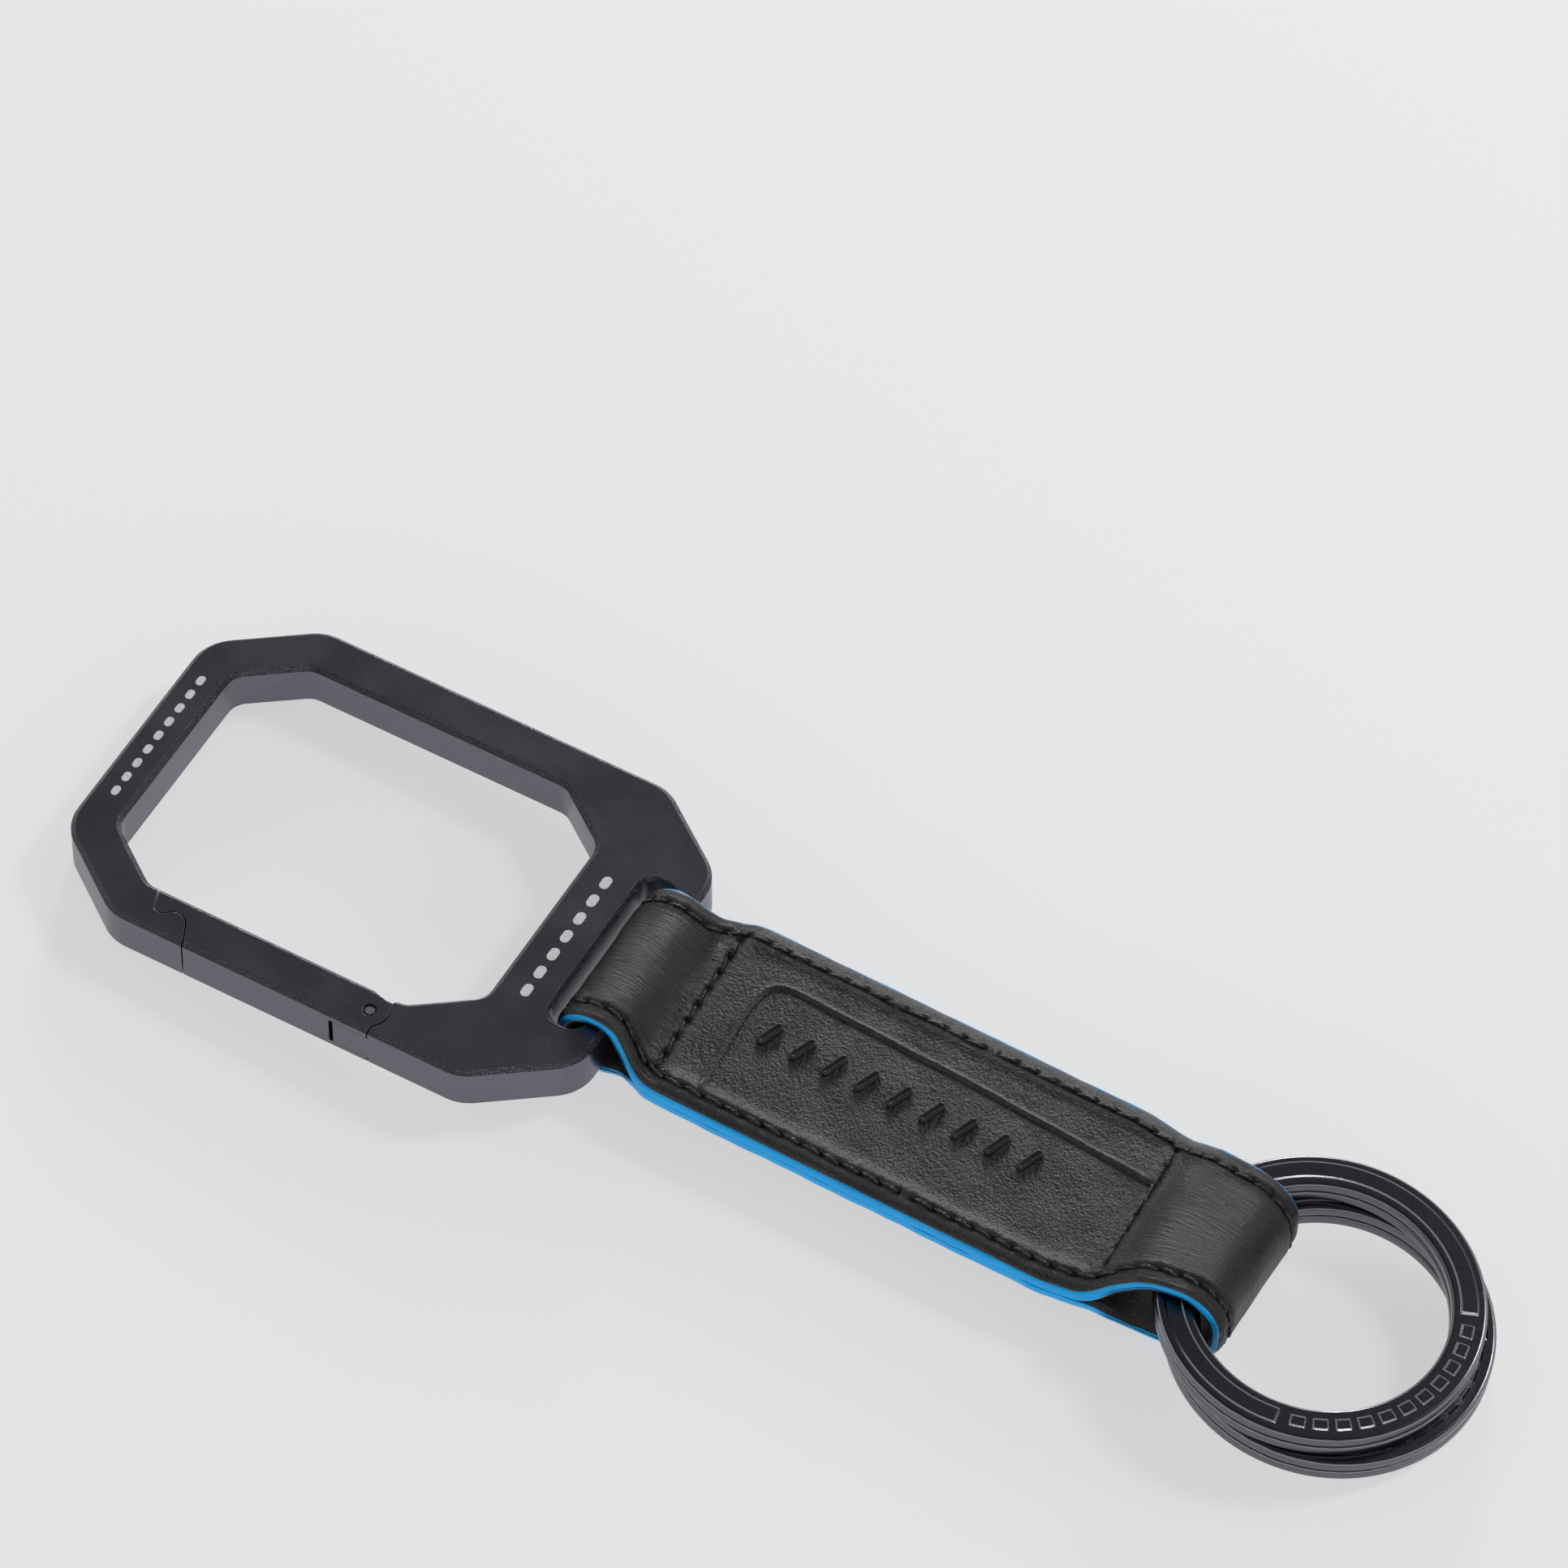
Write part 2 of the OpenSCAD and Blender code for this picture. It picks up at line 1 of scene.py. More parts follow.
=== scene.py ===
# %% [markdown]
# # Key organiser: carabiner, leather strap and split rings
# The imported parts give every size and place. This lesson adds what a solid model can't show:
# grained leather with a painted edge, sunk stitches, blasted anodising and stamped rings.

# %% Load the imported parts
import json
import math

import bpy
import numpy as np
from mathutils import Matrix, Vector


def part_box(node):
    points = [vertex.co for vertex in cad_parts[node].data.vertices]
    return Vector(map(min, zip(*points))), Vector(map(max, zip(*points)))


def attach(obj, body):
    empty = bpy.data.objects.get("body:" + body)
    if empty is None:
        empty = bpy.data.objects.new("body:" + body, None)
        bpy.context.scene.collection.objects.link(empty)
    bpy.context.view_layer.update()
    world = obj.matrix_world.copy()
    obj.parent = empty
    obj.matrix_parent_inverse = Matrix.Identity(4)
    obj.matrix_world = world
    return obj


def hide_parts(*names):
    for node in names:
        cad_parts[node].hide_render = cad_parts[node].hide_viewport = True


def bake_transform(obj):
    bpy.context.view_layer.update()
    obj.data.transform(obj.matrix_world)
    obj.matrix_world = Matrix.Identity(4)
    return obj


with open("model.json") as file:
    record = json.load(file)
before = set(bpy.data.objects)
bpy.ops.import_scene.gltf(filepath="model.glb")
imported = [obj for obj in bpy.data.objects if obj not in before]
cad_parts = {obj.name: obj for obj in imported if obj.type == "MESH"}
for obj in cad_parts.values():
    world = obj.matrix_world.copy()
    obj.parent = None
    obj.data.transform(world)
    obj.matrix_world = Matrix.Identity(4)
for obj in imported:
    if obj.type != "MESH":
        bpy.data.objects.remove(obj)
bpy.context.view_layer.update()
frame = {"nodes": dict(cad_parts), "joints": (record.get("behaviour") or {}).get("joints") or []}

MM = 0.001
joints = {j["name"]: j for j in frame["joints"]}
nodes = frame["nodes"]
print("parts:", len(nodes), "joints:", len(joints))

# %% [markdown]
# Three places fix all the soft work: the end bar that the leather wraps, the bend in front of
# the rings, and the end of the fold round the rings. Reading them from the parts keeps the
# leather in step when a size changes.

# %% Places and thicknesses read from the parts
bar = Vector(joints["strap_hinge"]["pos_m"])
loop_low, loop_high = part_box("ring_loop_leather")
bar_loop_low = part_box("bar_loop_leather")[0]
front_low, front_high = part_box("front_leather")

mid_z = bar.z
half = front_high.z - mid_z                  # half the panel's thickness
hide = front_high.z - front_low.z            # one layer of leather
wrap = mid_z - bar_loop_low.z                # outside radius round the end bar
fold_x = loop_high.x                         # outside of the fold at the rings
fold_up = loop_high.z - mid_z
fold_down = mid_z - loop_low.z
print("panel %.2f mm thick, wrap radius %.2f mm" % (2 * half / MM, wrap / MM))

# %% [markdown]
# The strap is one long strip folded back on itself, so its side view is a racetrack: a round
# turn over the end bar, a flat glued panel, and a taller turn over the rings. I draw the outside
# line of that racetrack once, and measure everything else from it, because the leather, the edge
# paint and the thread all have to follow the same line.

# %% Helpers for drawing the side view


def bezier(p0, p1, p2, p3, n=40):
    t = np.linspace(0, 1, n)[:, None]
    p0, p1, p2, p3 = (np.array(p, float) for p in (p0, p1, p2, p3))
    return ((1 - t) ** 3 * p0 + 3 * (1 - t) ** 2 * t * p1
            + 3 * (1 - t) * t ** 2 * p2 + t ** 3 * p3)


def arc(cx, cz, r, a0, a1, n=60):
    a = np.radians(np.linspace(a0, a1, n))
    return np.stack([cx + r * np.cos(a), cz + r * np.sin(a)], 1)


print("curve helpers ready")

# %% [markdown]
# In front of the rings the leather climbs from the flat panel to the taller turn. The climb is
# kept as a share, from none at the panel to all of it at the rings, so that the upper and the
# lower layer can use the same one. Smoothing the steps leaves no corner in the skin.

# %% How the leather climbs to the rings
RISE_X = np.array([-14.2, -13.4, -12.05, -10.45, -8.75, -7.15, -5.55, -4.6]) * MM
RISE = np.array([0.0, 0.03, 0.19, 0.50, 0.78, 0.92, 0.985, 1.0])


def rise_at(x):
    fine = np.linspace(RISE_X[0], RISE_X[-1], 200)
    values = np.interp(fine, RISE_X, RISE)
    kernel = np.hanning(25)
    values = np.convolve(np.pad(values, 12, mode="edge"), kernel / kernel.sum(), mode="valid")
    return np.interp(x - fold_x, fine, values)


print("climb of %.1f mm" % ((RISE_X[-1] - RISE_X[0]) / MM))

# %% [markdown]
# The outside line starts in the middle of the panel's top and goes once round: in to the bar,
# round it, back along the underside, up round the rings in two arcs, and home along the top.

# %% Draw the outside line of the folded strip
LEAN = 50                                    # degrees at which the leather leaves the bar
lean = math.radians(LEAN)
start_circle = np.array([bar.x + wrap * math.cos(lean), wrap * math.sin(lean)])
along = np.array([-math.sin(lean), math.cos(lean)])
flat_end = np.array([bar.x + 5.7 * MM, half])
top_in = bezier(flat_end, flat_end - [1.5 * MM, 0], start_circle - along * 1.3 * MM, start_circle)
flip = np.array([1, -1])
turn = arc(bar.x, 0, wrap, LEAN, 360 - LEAN, 90)
bottom_out = (top_in * flip)[::-1]
rise_x = np.linspace(fold_x + RISE_X[0], fold_x + RISE_X[-1], 80)
bottom_rise = np.stack([rise_x, -(half + (fold_down - half) * rise_at(rise_x))], 1)
top_rise = np.stack([rise_x, half + (fold_up - half) * rise_at(rise_x)], 1)[::-1]
low_r, high_r = 3.45 * MM, 4.45 * MM         # the fold's two corner radii
low_turn = arc(fold_x - low_r, low_r - fold_down, low_r, -90, 0)
high_turn = arc(fold_x - high_r, fold_up - high_r, high_r, 0, 90)
middle = np.array([[(bar.x + fold_x) / 2, half]])
rough = np.vstack([middle, top_in, turn[1:], bottom_out[1:], middle * flip, bottom_rise,
                   low_turn, high_turn, top_rise, middle])
keep = np.r_[True, np.linalg.norm(np.diff(rough, axis=0), axis=1) > 1e-7]
rough = rough[keep]
run = np.r_[0, np.cumsum(np.linalg.norm(np.diff(rough, axis=0), axis=1))]
print("outside line from %d points" % len(rough))

# %% [markdown]
# Everything along the strip is measured by length, so the line is cut into even steps, called
# stations. Each station also gets a direction straight out of the leather.

# %% Cut the line into even stations
STEP = 0.14 * MM
count = int(run[-1] / STEP)
s = np.linspace(0, run[-1], count, endpoint=False)
line = np.stack([np.interp(s, run, rough[:, 0]), np.interp(s, run, rough[:, 1])], 1)
kernel = np.hanning(9) / np.hanning(9).sum()
line = np.stack([np.convolve(np.r_[c[-4:], c, c[:4]], kernel, "valid") for c in line.T], 1)
tangent = np.roll(line, -1, 0) - np.roll(line, 1, 0)
tangent /= np.linalg.norm(tangent, axis=1)[:, None]
normal = np.stack([tangent[:, 1], -tangent[:, 0]], 1)
if ((line - line.mean(0)) * normal).sum() < 0:
    normal = -normal
print("racetrack %.1f mm long in %d steps" % (run[-1] / MM, count))

# %% [markdown]
# The strip is cut narrower where it is folded, so that it fits the slot and lets the rings swing.
# In the glued panel each layer reaches the middle plane. In the loops it is one layer thick.

# %% Width, thickness and how much of a loop each place is
WIDTH_BAR_X = np.array([-9, 2.4, 3.8, 4.8, 6.4, 7.8]) * MM
WIDTH_BAR = np.array([8.4, 8.4, 9.0, 9.75, 10.55, 10.7]) * MM
WIDTH_RING_X = np.array([-17, -13.75, -12.05, -10.45, -8.75, -7.15, -5.55, -3.95, -0.75, 0]) * MM
WIDTH_RING = np.array([10.7, 10.2, 9.6, 9.0, 8.5, 8.15, 7.95, 7.8, 7.65, 7.6]) * MM


def half_width(x):
    at_bar_end = np.interp(x - bar.x, WIDTH_BAR_X, WIDTH_BAR)
    at_ring_end = np.interp(x - fold_x, WIDTH_RING_X, WIDTH_RING)
    return np.minimum(at_bar_end, at_ring_end)


width = half_width(line[:, 0])
kernel = np.hanning(13) / np.hanning(13).sum()
width = np.convolve(np.r_[width[-6:], width, width[:6]], kernel, "valid")


def smooth(t):
    t = np.clip(t, 0, 1)
    return t * t * (3 - 2 * t)


loopness = np.maximum(smooth((bar.x + 5.6 * MM - line[:, 0]) / (1.3 * MM)),
                      smooth((line[:, 0] - fold_x + 12.9 * MM) / (2.2 * MM)))
thick = half + (hide - half) * loopness
droop = 0.30 * MM * (1 - 0.6 * loopness)     # pressing thins the strip towards its edge
upper = line[:, 1] > 0
print("strip %.1f to %.1f mm wide" % (2 * width.min() / MM, 2 * width.max() / MM))

# %% [markdown]
# The thread runs round the strip a little in from its edge, and two rows cross it where the
# panel ends. The crossing rows are not quite square to the strip, as hand work isn't. The slow
# unevenness that glue leaves is a sum of long waves, drawn by lot from one seed.

# %% Stitch spacing, crossing rows and slow waves
rng = np.random.default_rng(7)
PITCH = 2.05 * MM
INSET = 1.8 * MM
waves = [(rng.uniform(0, 6.28), rng.uniform(0.35, 1.1),
          rng.uniform(0, 6.28), rng.uniform(0.6, 1.3)) for _ in range(10)]
bar_row_x = bar.x + 6.3 * MM
ring_row_x = fold_x - 12.85 * MM
ROW_SLANT = 0.035


def row_x(which, y):
    return (bar_row_x if which == "bar" else ring_row_x) - ROW_SLANT * y


print("stitch pitch %.2f mm, inset %.2f mm" % (PITCH / MM, INSET / MM))

# %% [markdown]
# A thin insert under the front skin shows as a line pressed into the leather, with a small ridge
# on its outside and a lower field inside. It could be cut into the mesh, but as a height it keeps
# the even stations. Its line has few corners, each rounded.

# %% The line pressed by the insert


def round_corner(points, steps=9, reach=2.2 * MM):
    out = [np.array(points[0], float)]
    for a, b, c in zip(points, points[1:], points[2:]):
        a, b, c = (np.array(p, float) for p in (a, b, c))
        u = b + (a - b) * min(0.5, reach / np.linalg.norm(a - b))
        v = b + (c - b) * min(0.5, reach / np.linalg.norm(c - b))
        for t in np.linspace(0, 1, steps):
            out.append((1 - t) ** 2 * u + 2 * t * (1 - t) * b + t * t * v)
    out.append(np.array(points[-1], float))
    return np.array(out)


INSERT_CORNERS = ((11.3, -8.0), (10.5, 1.0), (11.0, 5.25), (16.5, 5.15), (32.4, 4.65), (52.0, 3.5))
insert_line = round_corner([(bar.x + dx * MM, y * MM) for dx, y in INSERT_CORNERS])


def insert_step(x, y):
    """Height of the pressed step: the inside, on the near side, lies lower."""
    best = np.full(x.shape, 1.0)
    side = np.zeros(x.shape)
    for a, b in zip(insert_line, insert_line[1:]):
        d = b - a
        length2 = d @ d
        if length2 < 1e-14:
            continue
        t = np.clip(((x - a[0]) * d[0] + (y - a[1]) * d[1]) / length2, 0, 1)
        px, py = x - a[0] - t * d[0], y - a[1] - t * d[1]
        dist = np.hypot(px, py)
        closer = dist < best
        best = np.where(closer, dist, best)
        side = np.where(closer, np.sign(px * d[1] - py * d[0]), side)
    signed = best * side
    fade = smooth((x - insert_line[0][0] + 3 * MM) / (2 * MM))
    groove = -0.16 * np.exp(-((signed - 0.14 * MM) / (0.17 * MM)) ** 2)
    ridge = 0.13 * np.exp(-((signed + 0.20 * MM) / (0.22 * MM)) ** 2)
    lower = -0.10 * smooth(signed / (0.3 * MM)) * np.exp(-np.maximum(signed, 0) / (4 * MM))
    ends = smooth((bar.x + 52.2 * MM - x) / (0.6 * MM)) * smooth((y + 8.4 * MM) / (0.6 * MM))
    return (groove + ridge + lower) * MM * fade * ends


print("insert line of %d points" % len(insert_line))

# %% [markdown]
# A leather face is never flat. Thread pulls a groove and a dimple at every hole, and the skin
# swells beside it. Each effect is a height added straight out of the face, so they add up.

# %% Heights of the leather's face
FAR_SHIFT = 0.37                             # the far row starts this share of a pitch later


def face_height(i, y):
    """Height over the plain face at station array i and across at y, both 2-D arrays."""
    x, along_s, w = line[i, 0], s[i], width[i]
    from_row = np.abs(y) - (w - INSET)
    hole = (along_s / PITCH + np.where(y > 0, FAR_SHIFT, 0)) % 1.0
    hole = np.minimum(hole, 1 - hole) * PITCH
    strength = np.where(upper[i], 1.0, 0.8)
    h = -0.15 * np.exp(-(from_row / (0.38 * MM)) ** 2)
    h += -0.20 * np.exp(-(from_row ** 2 + hole ** 2) / (0.34 * MM) ** 2)
    h += 0.09 * np.exp(-((from_row - 0.85 * MM) / (0.55 * MM)) ** 2)
    h += 0.05 * np.exp(-((from_row + 0.9 * MM) / (0.6 * MM)) ** 2)
    h *= strength
    for which in ("bar", "ring"):
        gap = x - row_x(which, y)
        inside = smooth((w - INSET + 0.2 * MM - np.abs(y)) / (0.4 * MM))
        dimple = (y / PITCH + 0.2) % 1.0
        dimple = np.minimum(dimple, 1 - dimple) * PITCH
        h += inside * (-0.16 * np.exp(-(gap / (0.4 * MM)) ** 2)
                       - 0.2 * np.exp(-(gap ** 2 + dimple ** 2) / (0.36 * MM) ** 2)
                       + 0.06 * np.exp(-((np.abs(gap) - 0.95 * MM) / (0.5 * MM)) ** 2))
    h = h * MM
    h += np.where(upper[i], insert_step(x, y), 0)
    h -= droop[i] * smooth((from_row + 0.3 * MM) / (INSET - 0.2 * MM))
    for a, fx, b, fy in waves:
        h += 0.016 * MM * np.sin(a + fx * along_s / MM * 0.9) * np.sin(b + fy * y / MM * 0.8)
    return h


print("face heights ready, %d waves" % len(waves))

# %% [markdown]
# The rings lift the skin in the middle of the fold more than at its sides, which rounds it like
# a crowned road. One helper then turns a station, a place across and a depth into a point.

# %% Crown of the fold, and points in space
crown = np.where(upper, 1, 0) * 0.75 * MM
crown = crown * np.exp(-((line[:, 0] - fold_x + 9.2 * MM) / (2.6 * MM)) ** 2)
crown *= smooth((line[:, 0] - fold_x + 13.6 * MM) / (2.5 * MM))


def to_space(i, y, depth, lift=0.0):
    """Points at station i, across y, depth under the plain face."""
    raised = crown[i] * (1 - (y / width[i]) ** 2)
    out = lift + raised - depth
    along_x = line[i, 0] + normal[i, 0] * out
    height_z = mid_z + line[i, 1] + normal[i, 1] * out
    return np.stack([along_x, y, height_z], -1)


print("crown %.2f mm high" % (crown.max() / MM))

# %% [markdown]
# The leather is a tube of quads: for each station, a closed section runs over the face, round the
# cut edge, back along the inside and up the other edge. The map coordinates are the real length
# and width, so the grain keeps its size round the folds.

# %% Helper for a closed tube of quads


def ring_mesh(name, columns, uv_scale=10.0):
    """One mesh from (points, across) columns, closed round the strip and round its section."""
    m = len(columns)
    grid = np.stack([c[0] for c in columns], 1)
    n = grid.shape[0]
    verts = grid.reshape(-1, 3)
    i, j = np.meshgrid(np.arange(n), np.arange(m), indexing="ij")
    i2, j2 = (i + 1) % n, (j + 1) % m
    faces = np.stack([i * m + j, i * m + j2, i2 * m + j2, i2 * m + j], -1).reshape(-1, 4)
    mesh = bpy.data.meshes.new(name)
    mesh.vertices.add(len(verts))
    mesh.vertices.foreach_set("co", verts.astype(np.float32).ravel())
    mesh.loops.add(len(faces) * 4)
    mesh.loops.foreach_set("vertex_index", faces.astype(np.int32).ravel())
    mesh.polygons.add(len(faces))
    mesh.polygons.foreach_set("loop_start", np.arange(len(faces), dtype=np.int32) * 4)
    across = np.array([c[1] for c in columns])
    along_s = np.r_[s, run[-1]]
    u = np.stack([along_s[i], along_s[i], along_s[i + 1], along_s[i + 1]], -1).reshape(-1)
    next_across = np.r_[across, across[0]]
    v = np.stack([across[j], next_across[j + 1], next_across[j + 1], across[j]], -1).reshape(-1)
    layer = mesh.uv_layers.new(name="UVMap")
    layer.data.foreach_set("uv", (np.stack([u, v], 1) * uv_scale).astype(np.float32).ravel())
    mesh.update()
    mesh.validate()
    mesh.polygons.foreach_set("use_smooth", np.ones(len(mesh.polygons), bool))
    obj = bpy.data.objects.new(name, mesh)
    bpy.context.scene.collection.objects.link(obj)
    return obj


print("tube helper ready")

# %% [markdown]
# Beside the thread the skin is gathered into small folds. How gathered it is goes with every
# point as a number, so that the leather's relief can grow there and nowhere else.

# %% How gathered the skin is
stations = np.arange(count)


def pucker(i, y):
    """How much the skin is gathered by the thread, from 0 to 1."""
    x, w = line[i, 0], width[i]
    near = np.exp(-((np.abs(y) - (w - INSET)) / (0.75 * MM)) ** 2)
    for which in ("bar", "ring"):
        beside = np.exp(-((x - row_x(which, y)) / (0.85 * MM)) ** 2) * (np.abs(y) < w - INSET)
        near = np.maximum(near, beside)
    return near


print("stations:", len(stations))

# %% [markdown]
# The section goes over the face in fine steps, since that is what shows, round the cut edge in
# three, back along the inside in coarse steps, and up the other edge.

# %% Build the leather
EDGE = 0.4 * MM                              # rounding of the cut edge
SIDE = 0.14 * MM                             # the paint stands this proud of the cut edge
columns, gathered = [], []
for k in np.linspace(-1, 1, 151):
    y = k * (width - EDGE - SIDE)
    columns.append((to_space(stations, y, 0, face_height(stations, y)), k * 10 * MM))
    gathered.append(pucker(stations, y))
for a in (30, 60, 90):
    y = width - SIDE - EDGE + EDGE * math.sin(math.radians(a))
    depth = droop + EDGE * (1 - math.cos(math.radians(a)))
    columns.append((to_space(stations, y, depth), 10.2 * MM))
for k in np.linspace(1, -1, 15):
    y = k * (width - SIDE)
    columns.append((to_space(stations, y, thick - 0.01 * MM), 20 * MM - k * 9 * MM))
for a in (90, 60, 30):
    y = -(width - SIDE - EDGE + EDGE * math.sin(math.radians(a)))
    depth = droop + EDGE * (1 - math.cos(math.radians(a)))
    columns.append((to_space(stations, y, depth), -10.2 * MM))
leather = ring_mesh("leather_strip", columns)
gathered += [gathered[0] * 0] * (len(columns) - len(gathered))
mark = leather.data.attributes.new("pucker", "FLOAT", "POINT")
mark.data.foreach_set("value", np.stack(gathered, 1).astype(np.float32).ravel())
print("leather:", len(leather.data.polygons), "faces")

# %% [markdown]
# Edge paint is brushed on in several coats, so it dries to a full, rounded bead. In the panel one
# bead covers both layers. In the loops each layer has its own. The bead is its own mesh, because
# its colour must stop at a clean line.

# %% Build the painted edges
BEAD = ((0.16, -0.42), (0.17, -0.26), (0.23, -0.12), (0.38, -0.03), (0.60, 0.0), (0.85, 0.01))
BEAD_ROOT = -0.7 * MM                        # how far the bead reaches in under the skin


def bead(name, side):
    cols = [(depth * MM + droop, y * MM) for depth, y in BEAD]
    for k, (depth, y) in enumerate(BEAD[::-1][1:]):
        inner = thick - depth * MM * loopness
        cols.append((inner - 0.03 * MM * (5 - k) * (1 - loopness),
                     y * MM * loopness + 0.02 * MM * (1 - loopness)))
    cols.append((thick - 0.1 * MM, BEAD_ROOT))
    cols.append((0.2 * MM + droop, BEAD_ROOT))
    wobble = 0.03 * MM * np.sin(s / MM * 0.55 + side) + 0.02 * MM * np.sin(s / MM * 1.7)
    columns = []
    for k, (depth, y) in enumerate(cols):
        columns.append((to_space(stations, side * (width + y + wobble), depth), k * 0.3 * MM))
    if side < 0:
        columns = columns[::-1]
    return ring_mesh(name, columns)


paint_near = bead("painted_edge_near", -1)
paint_far = bead("painted_edge_far", 1)
print("painted edges: 2")

# %% [markdown]
# Each stitch is a short length of twisted thread that comes up through one hole and goes down the
# next. Its middle stands over the groove and its ends dip into the holes, and it lies a little
# askew, as a lockstitch does.

# %% Helper for twisted thread
THREAD = 0.135 * MM                          # radius
TWIST = 0.75                                 # turn between two rings of points, in radians


def strand_mesh(name, strands, sides=10):
    """Each centre line in strands becomes a tapered tube of two twisted plies."""
    verts, faces, base = [], [], 0
    for path in strands:
        n = len(path)
        t = np.gradient(path, axis=0)
        t /= np.linalg.norm(t, axis=1)[:, None]
        up = np.cross(t, [0.13, 0.99, 0.05])
        up /= np.linalg.norm(up, axis=1)[:, None]
        out = np.cross(t, up)
        grow = np.sqrt(np.clip(1 - np.linspace(-0.96, 0.96, n) ** 4, 0.05, 1))
        for q in range(n):
            for m in range(sides):
                a = 2 * math.pi * m / sides
                twist = 1 + 0.26 * math.cos(2 * (a - q * TWIST))
                way = math.cos(a) * up[q] + math.sin(a) * out[q]
                verts.append(path[q] + THREAD * grow[q] * twist * way)
        for q in range(n - 1):
            for m in range(sides):
                m2 = (m + 1) % sides
                faces.append((base + q * sides + m, base + q * sides + m2,
                              base + (q + 1) * sides + m2, base + (q + 1) * sides + m))
        faces.append(tuple(base + m for m in range(sides))[::-1])
        faces.append(tuple(base + (n - 1) * sides + m for m in range(sides)))
        base += n * sides
    mesh = bpy.data.meshes.new(name)
    mesh.from_pydata([tuple(v) for v in verts], [], faces)
    mesh.polygons.foreach_set("use_smooth", np.ones(len(mesh.polygons), bool))
    mesh.update()
    obj = bpy.data.objects.new(name, mesh)
    bpy.context.scene.collection.objects.link(obj)
    return obj


print("thread helper ready")

# %% [markdown]
# The two long rows follow the edge all round the strip, loops included. Each stitch gets its own
# small lean and height, since no two are pulled alike.

# %% Plan the edge rows


def at_length(where):
    return np.round(np.asarray(where) / run[-1] * count).astype(int) % count


def edge_row(side):
    strands = []
    offset = FAR_SHIFT if side > 0 else 0
    k = 0
    while True:
        first = (k - offset) * PITCH
        k += 1
        if first + PITCH > run[-1]:
            break
        if first < 0:
            continue
        t = np.linspace(0.05, 0.95, 15)
        i = at_length(first + t * PITCH)
        askew = rng.uniform(0.06, 0.2) * MM * (0.5 - t) * 2
        y = side * (width[i] - INSET + askew) + rng.uniform(-0.06, 0.06) * MM
        arch = (0.24 * np.sin(np.pi * t) - 0.27 + rng.uniform(-0.06, 0.03)) * MM
        strands.append(to_space(i, y, 0, arch))
    return strands


print("edge rows planned")

# %% [markdown]
# The crossing rows hold the two layers together at both ends of the panel, so each is sewn on the
# upper and on the lower face.

# %% Sew all four rows


def cross_row(which):
    strands = []
    for face in (True, False):
        reach = half_width(np.array([row_x(which, 0.0)]))[0] - INSET
        start = math.ceil((-reach / PITCH) + 0.2) - 0.2
        while (start + 1) * PITCH < reach:
            t = np.linspace(0.05, 0.95, 15)
            y = (start + t) * PITCH
            askew = rng.uniform(0.06, 0.22) * MM * (0.5 - t) * 2
            x = row_x(which, y) + askew + rng.uniform(-0.06, 0.06) * MM
            pool = stations[upper == face]
            i = np.array([pool[np.argmin(np.abs(line[pool, 0] - v))] for v in x])
            arch = (0.24 * np.sin(np.pi * t) - 0.28 + rng.uniform(-0.06, 0.03)) * MM
            points = to_space(i, y, 0, arch)
            points[:, 0] = x
            strands.append(points)
            start += 1
    return strands


thread_near = strand_mesh("thread_near", edge_row(-1))
thread_far = strand_mesh("thread_far", edge_row(1))
thread_bar_row = strand_mesh("thread_bar_row", cross_row("bar"))
thread_ring_row = strand_mesh("thread_ring_row", cross_row("ring"))
print("thread pieces: 4")

# %% [markdown]
# The pressed decoration is a row of low, soft-edged bars. A rounded bar is lofted from a small
# outline to a full one, so that its top edge catches a line of light.

# %% Raise the bars on the panel
bars_low, bars_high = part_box("raised_bars")
BARS = 9
# height and inset of each outline, from the root to the slightly dished top
LEVELS = ((-0.25, 0.0), (0.2, 0.0), (0.33, 0.03), (0.41, 0.1), (0.44, 0.19), (0.40, 0.27),
          (0.385, 0.33))


def raised_marks(name, ring=28):
    verts, faces = [], []
    width_bar, length_bar, tall = 0.9 * MM, 3.0 * MM, 0.42 * MM
    span = (bars_high.x - bars_low.x) - 1.75 * MM
    for k in range(BARS):
        cx = (bars_low.x + bars_high.x) / 2 + span * (k / (BARS - 1) - 0.5)
        base = len(verts)
        for z, inset in LEVELS:
            r = width_bar / 2 - inset * MM
            for q in range(ring):
                a = 2 * math.pi * q / ring
                px = r * math.cos(a)
                straight = (length_bar - width_bar) / 2
                py = r * math.sin(a) + math.copysign(straight, math.sin(a + 1e-6))
                tilt = math.radians(-20)
                verts.append((cx + px * math.cos(tilt) - py * math.sin(tilt),
                              px * math.sin(tilt) + py * math.cos(tilt),
                              mid_z + half + z / 0.44 * tall))
        for level in range(len(LEVELS) - 1):
            for q in range(ring):
                q2 = (q + 1) % ring
                a, b = base + level * ring, base + (level + 1) * ring
                faces.append((a + q, a + q2, b + q2, b + q))
        faces.append(tuple(base + q for q in range(ring))[::-1])
        faces.append(tuple(base + (len(LEVELS) - 1) * ring + q for q in range(ring)))
    mesh = bpy.data.meshes.new(name)
    mesh.from_pydata(verts, [], faces)
    mesh.polygons.foreach_set("use_smooth", np.ones(len(mesh.polygons), bool))
    mesh.update()
    obj = bpy.data.objects.new(name, mesh)
    bpy.context.scene.collection.objects.link(obj)
    return obj


marks = raised_marks("raised_marks")
print("raised bars:", BARS)

# %% [markdown]
# The white print on the carabiner is a thin film of ink. It is made as flat dashes that stand two
# hundredths of a millimetre proud, so that they ride with the metal.

# %% Print dashes on the carabiner
hinge_axis = -Vector(joints["gate_hinge"]["axis"])       # the plate's upward normal
plate_x = Vector((hinge_axis.z, 0, -hinge_axis.x))       # along the plate
PLATE_TOP = 2.5 * MM                                     # half the plate's thickness


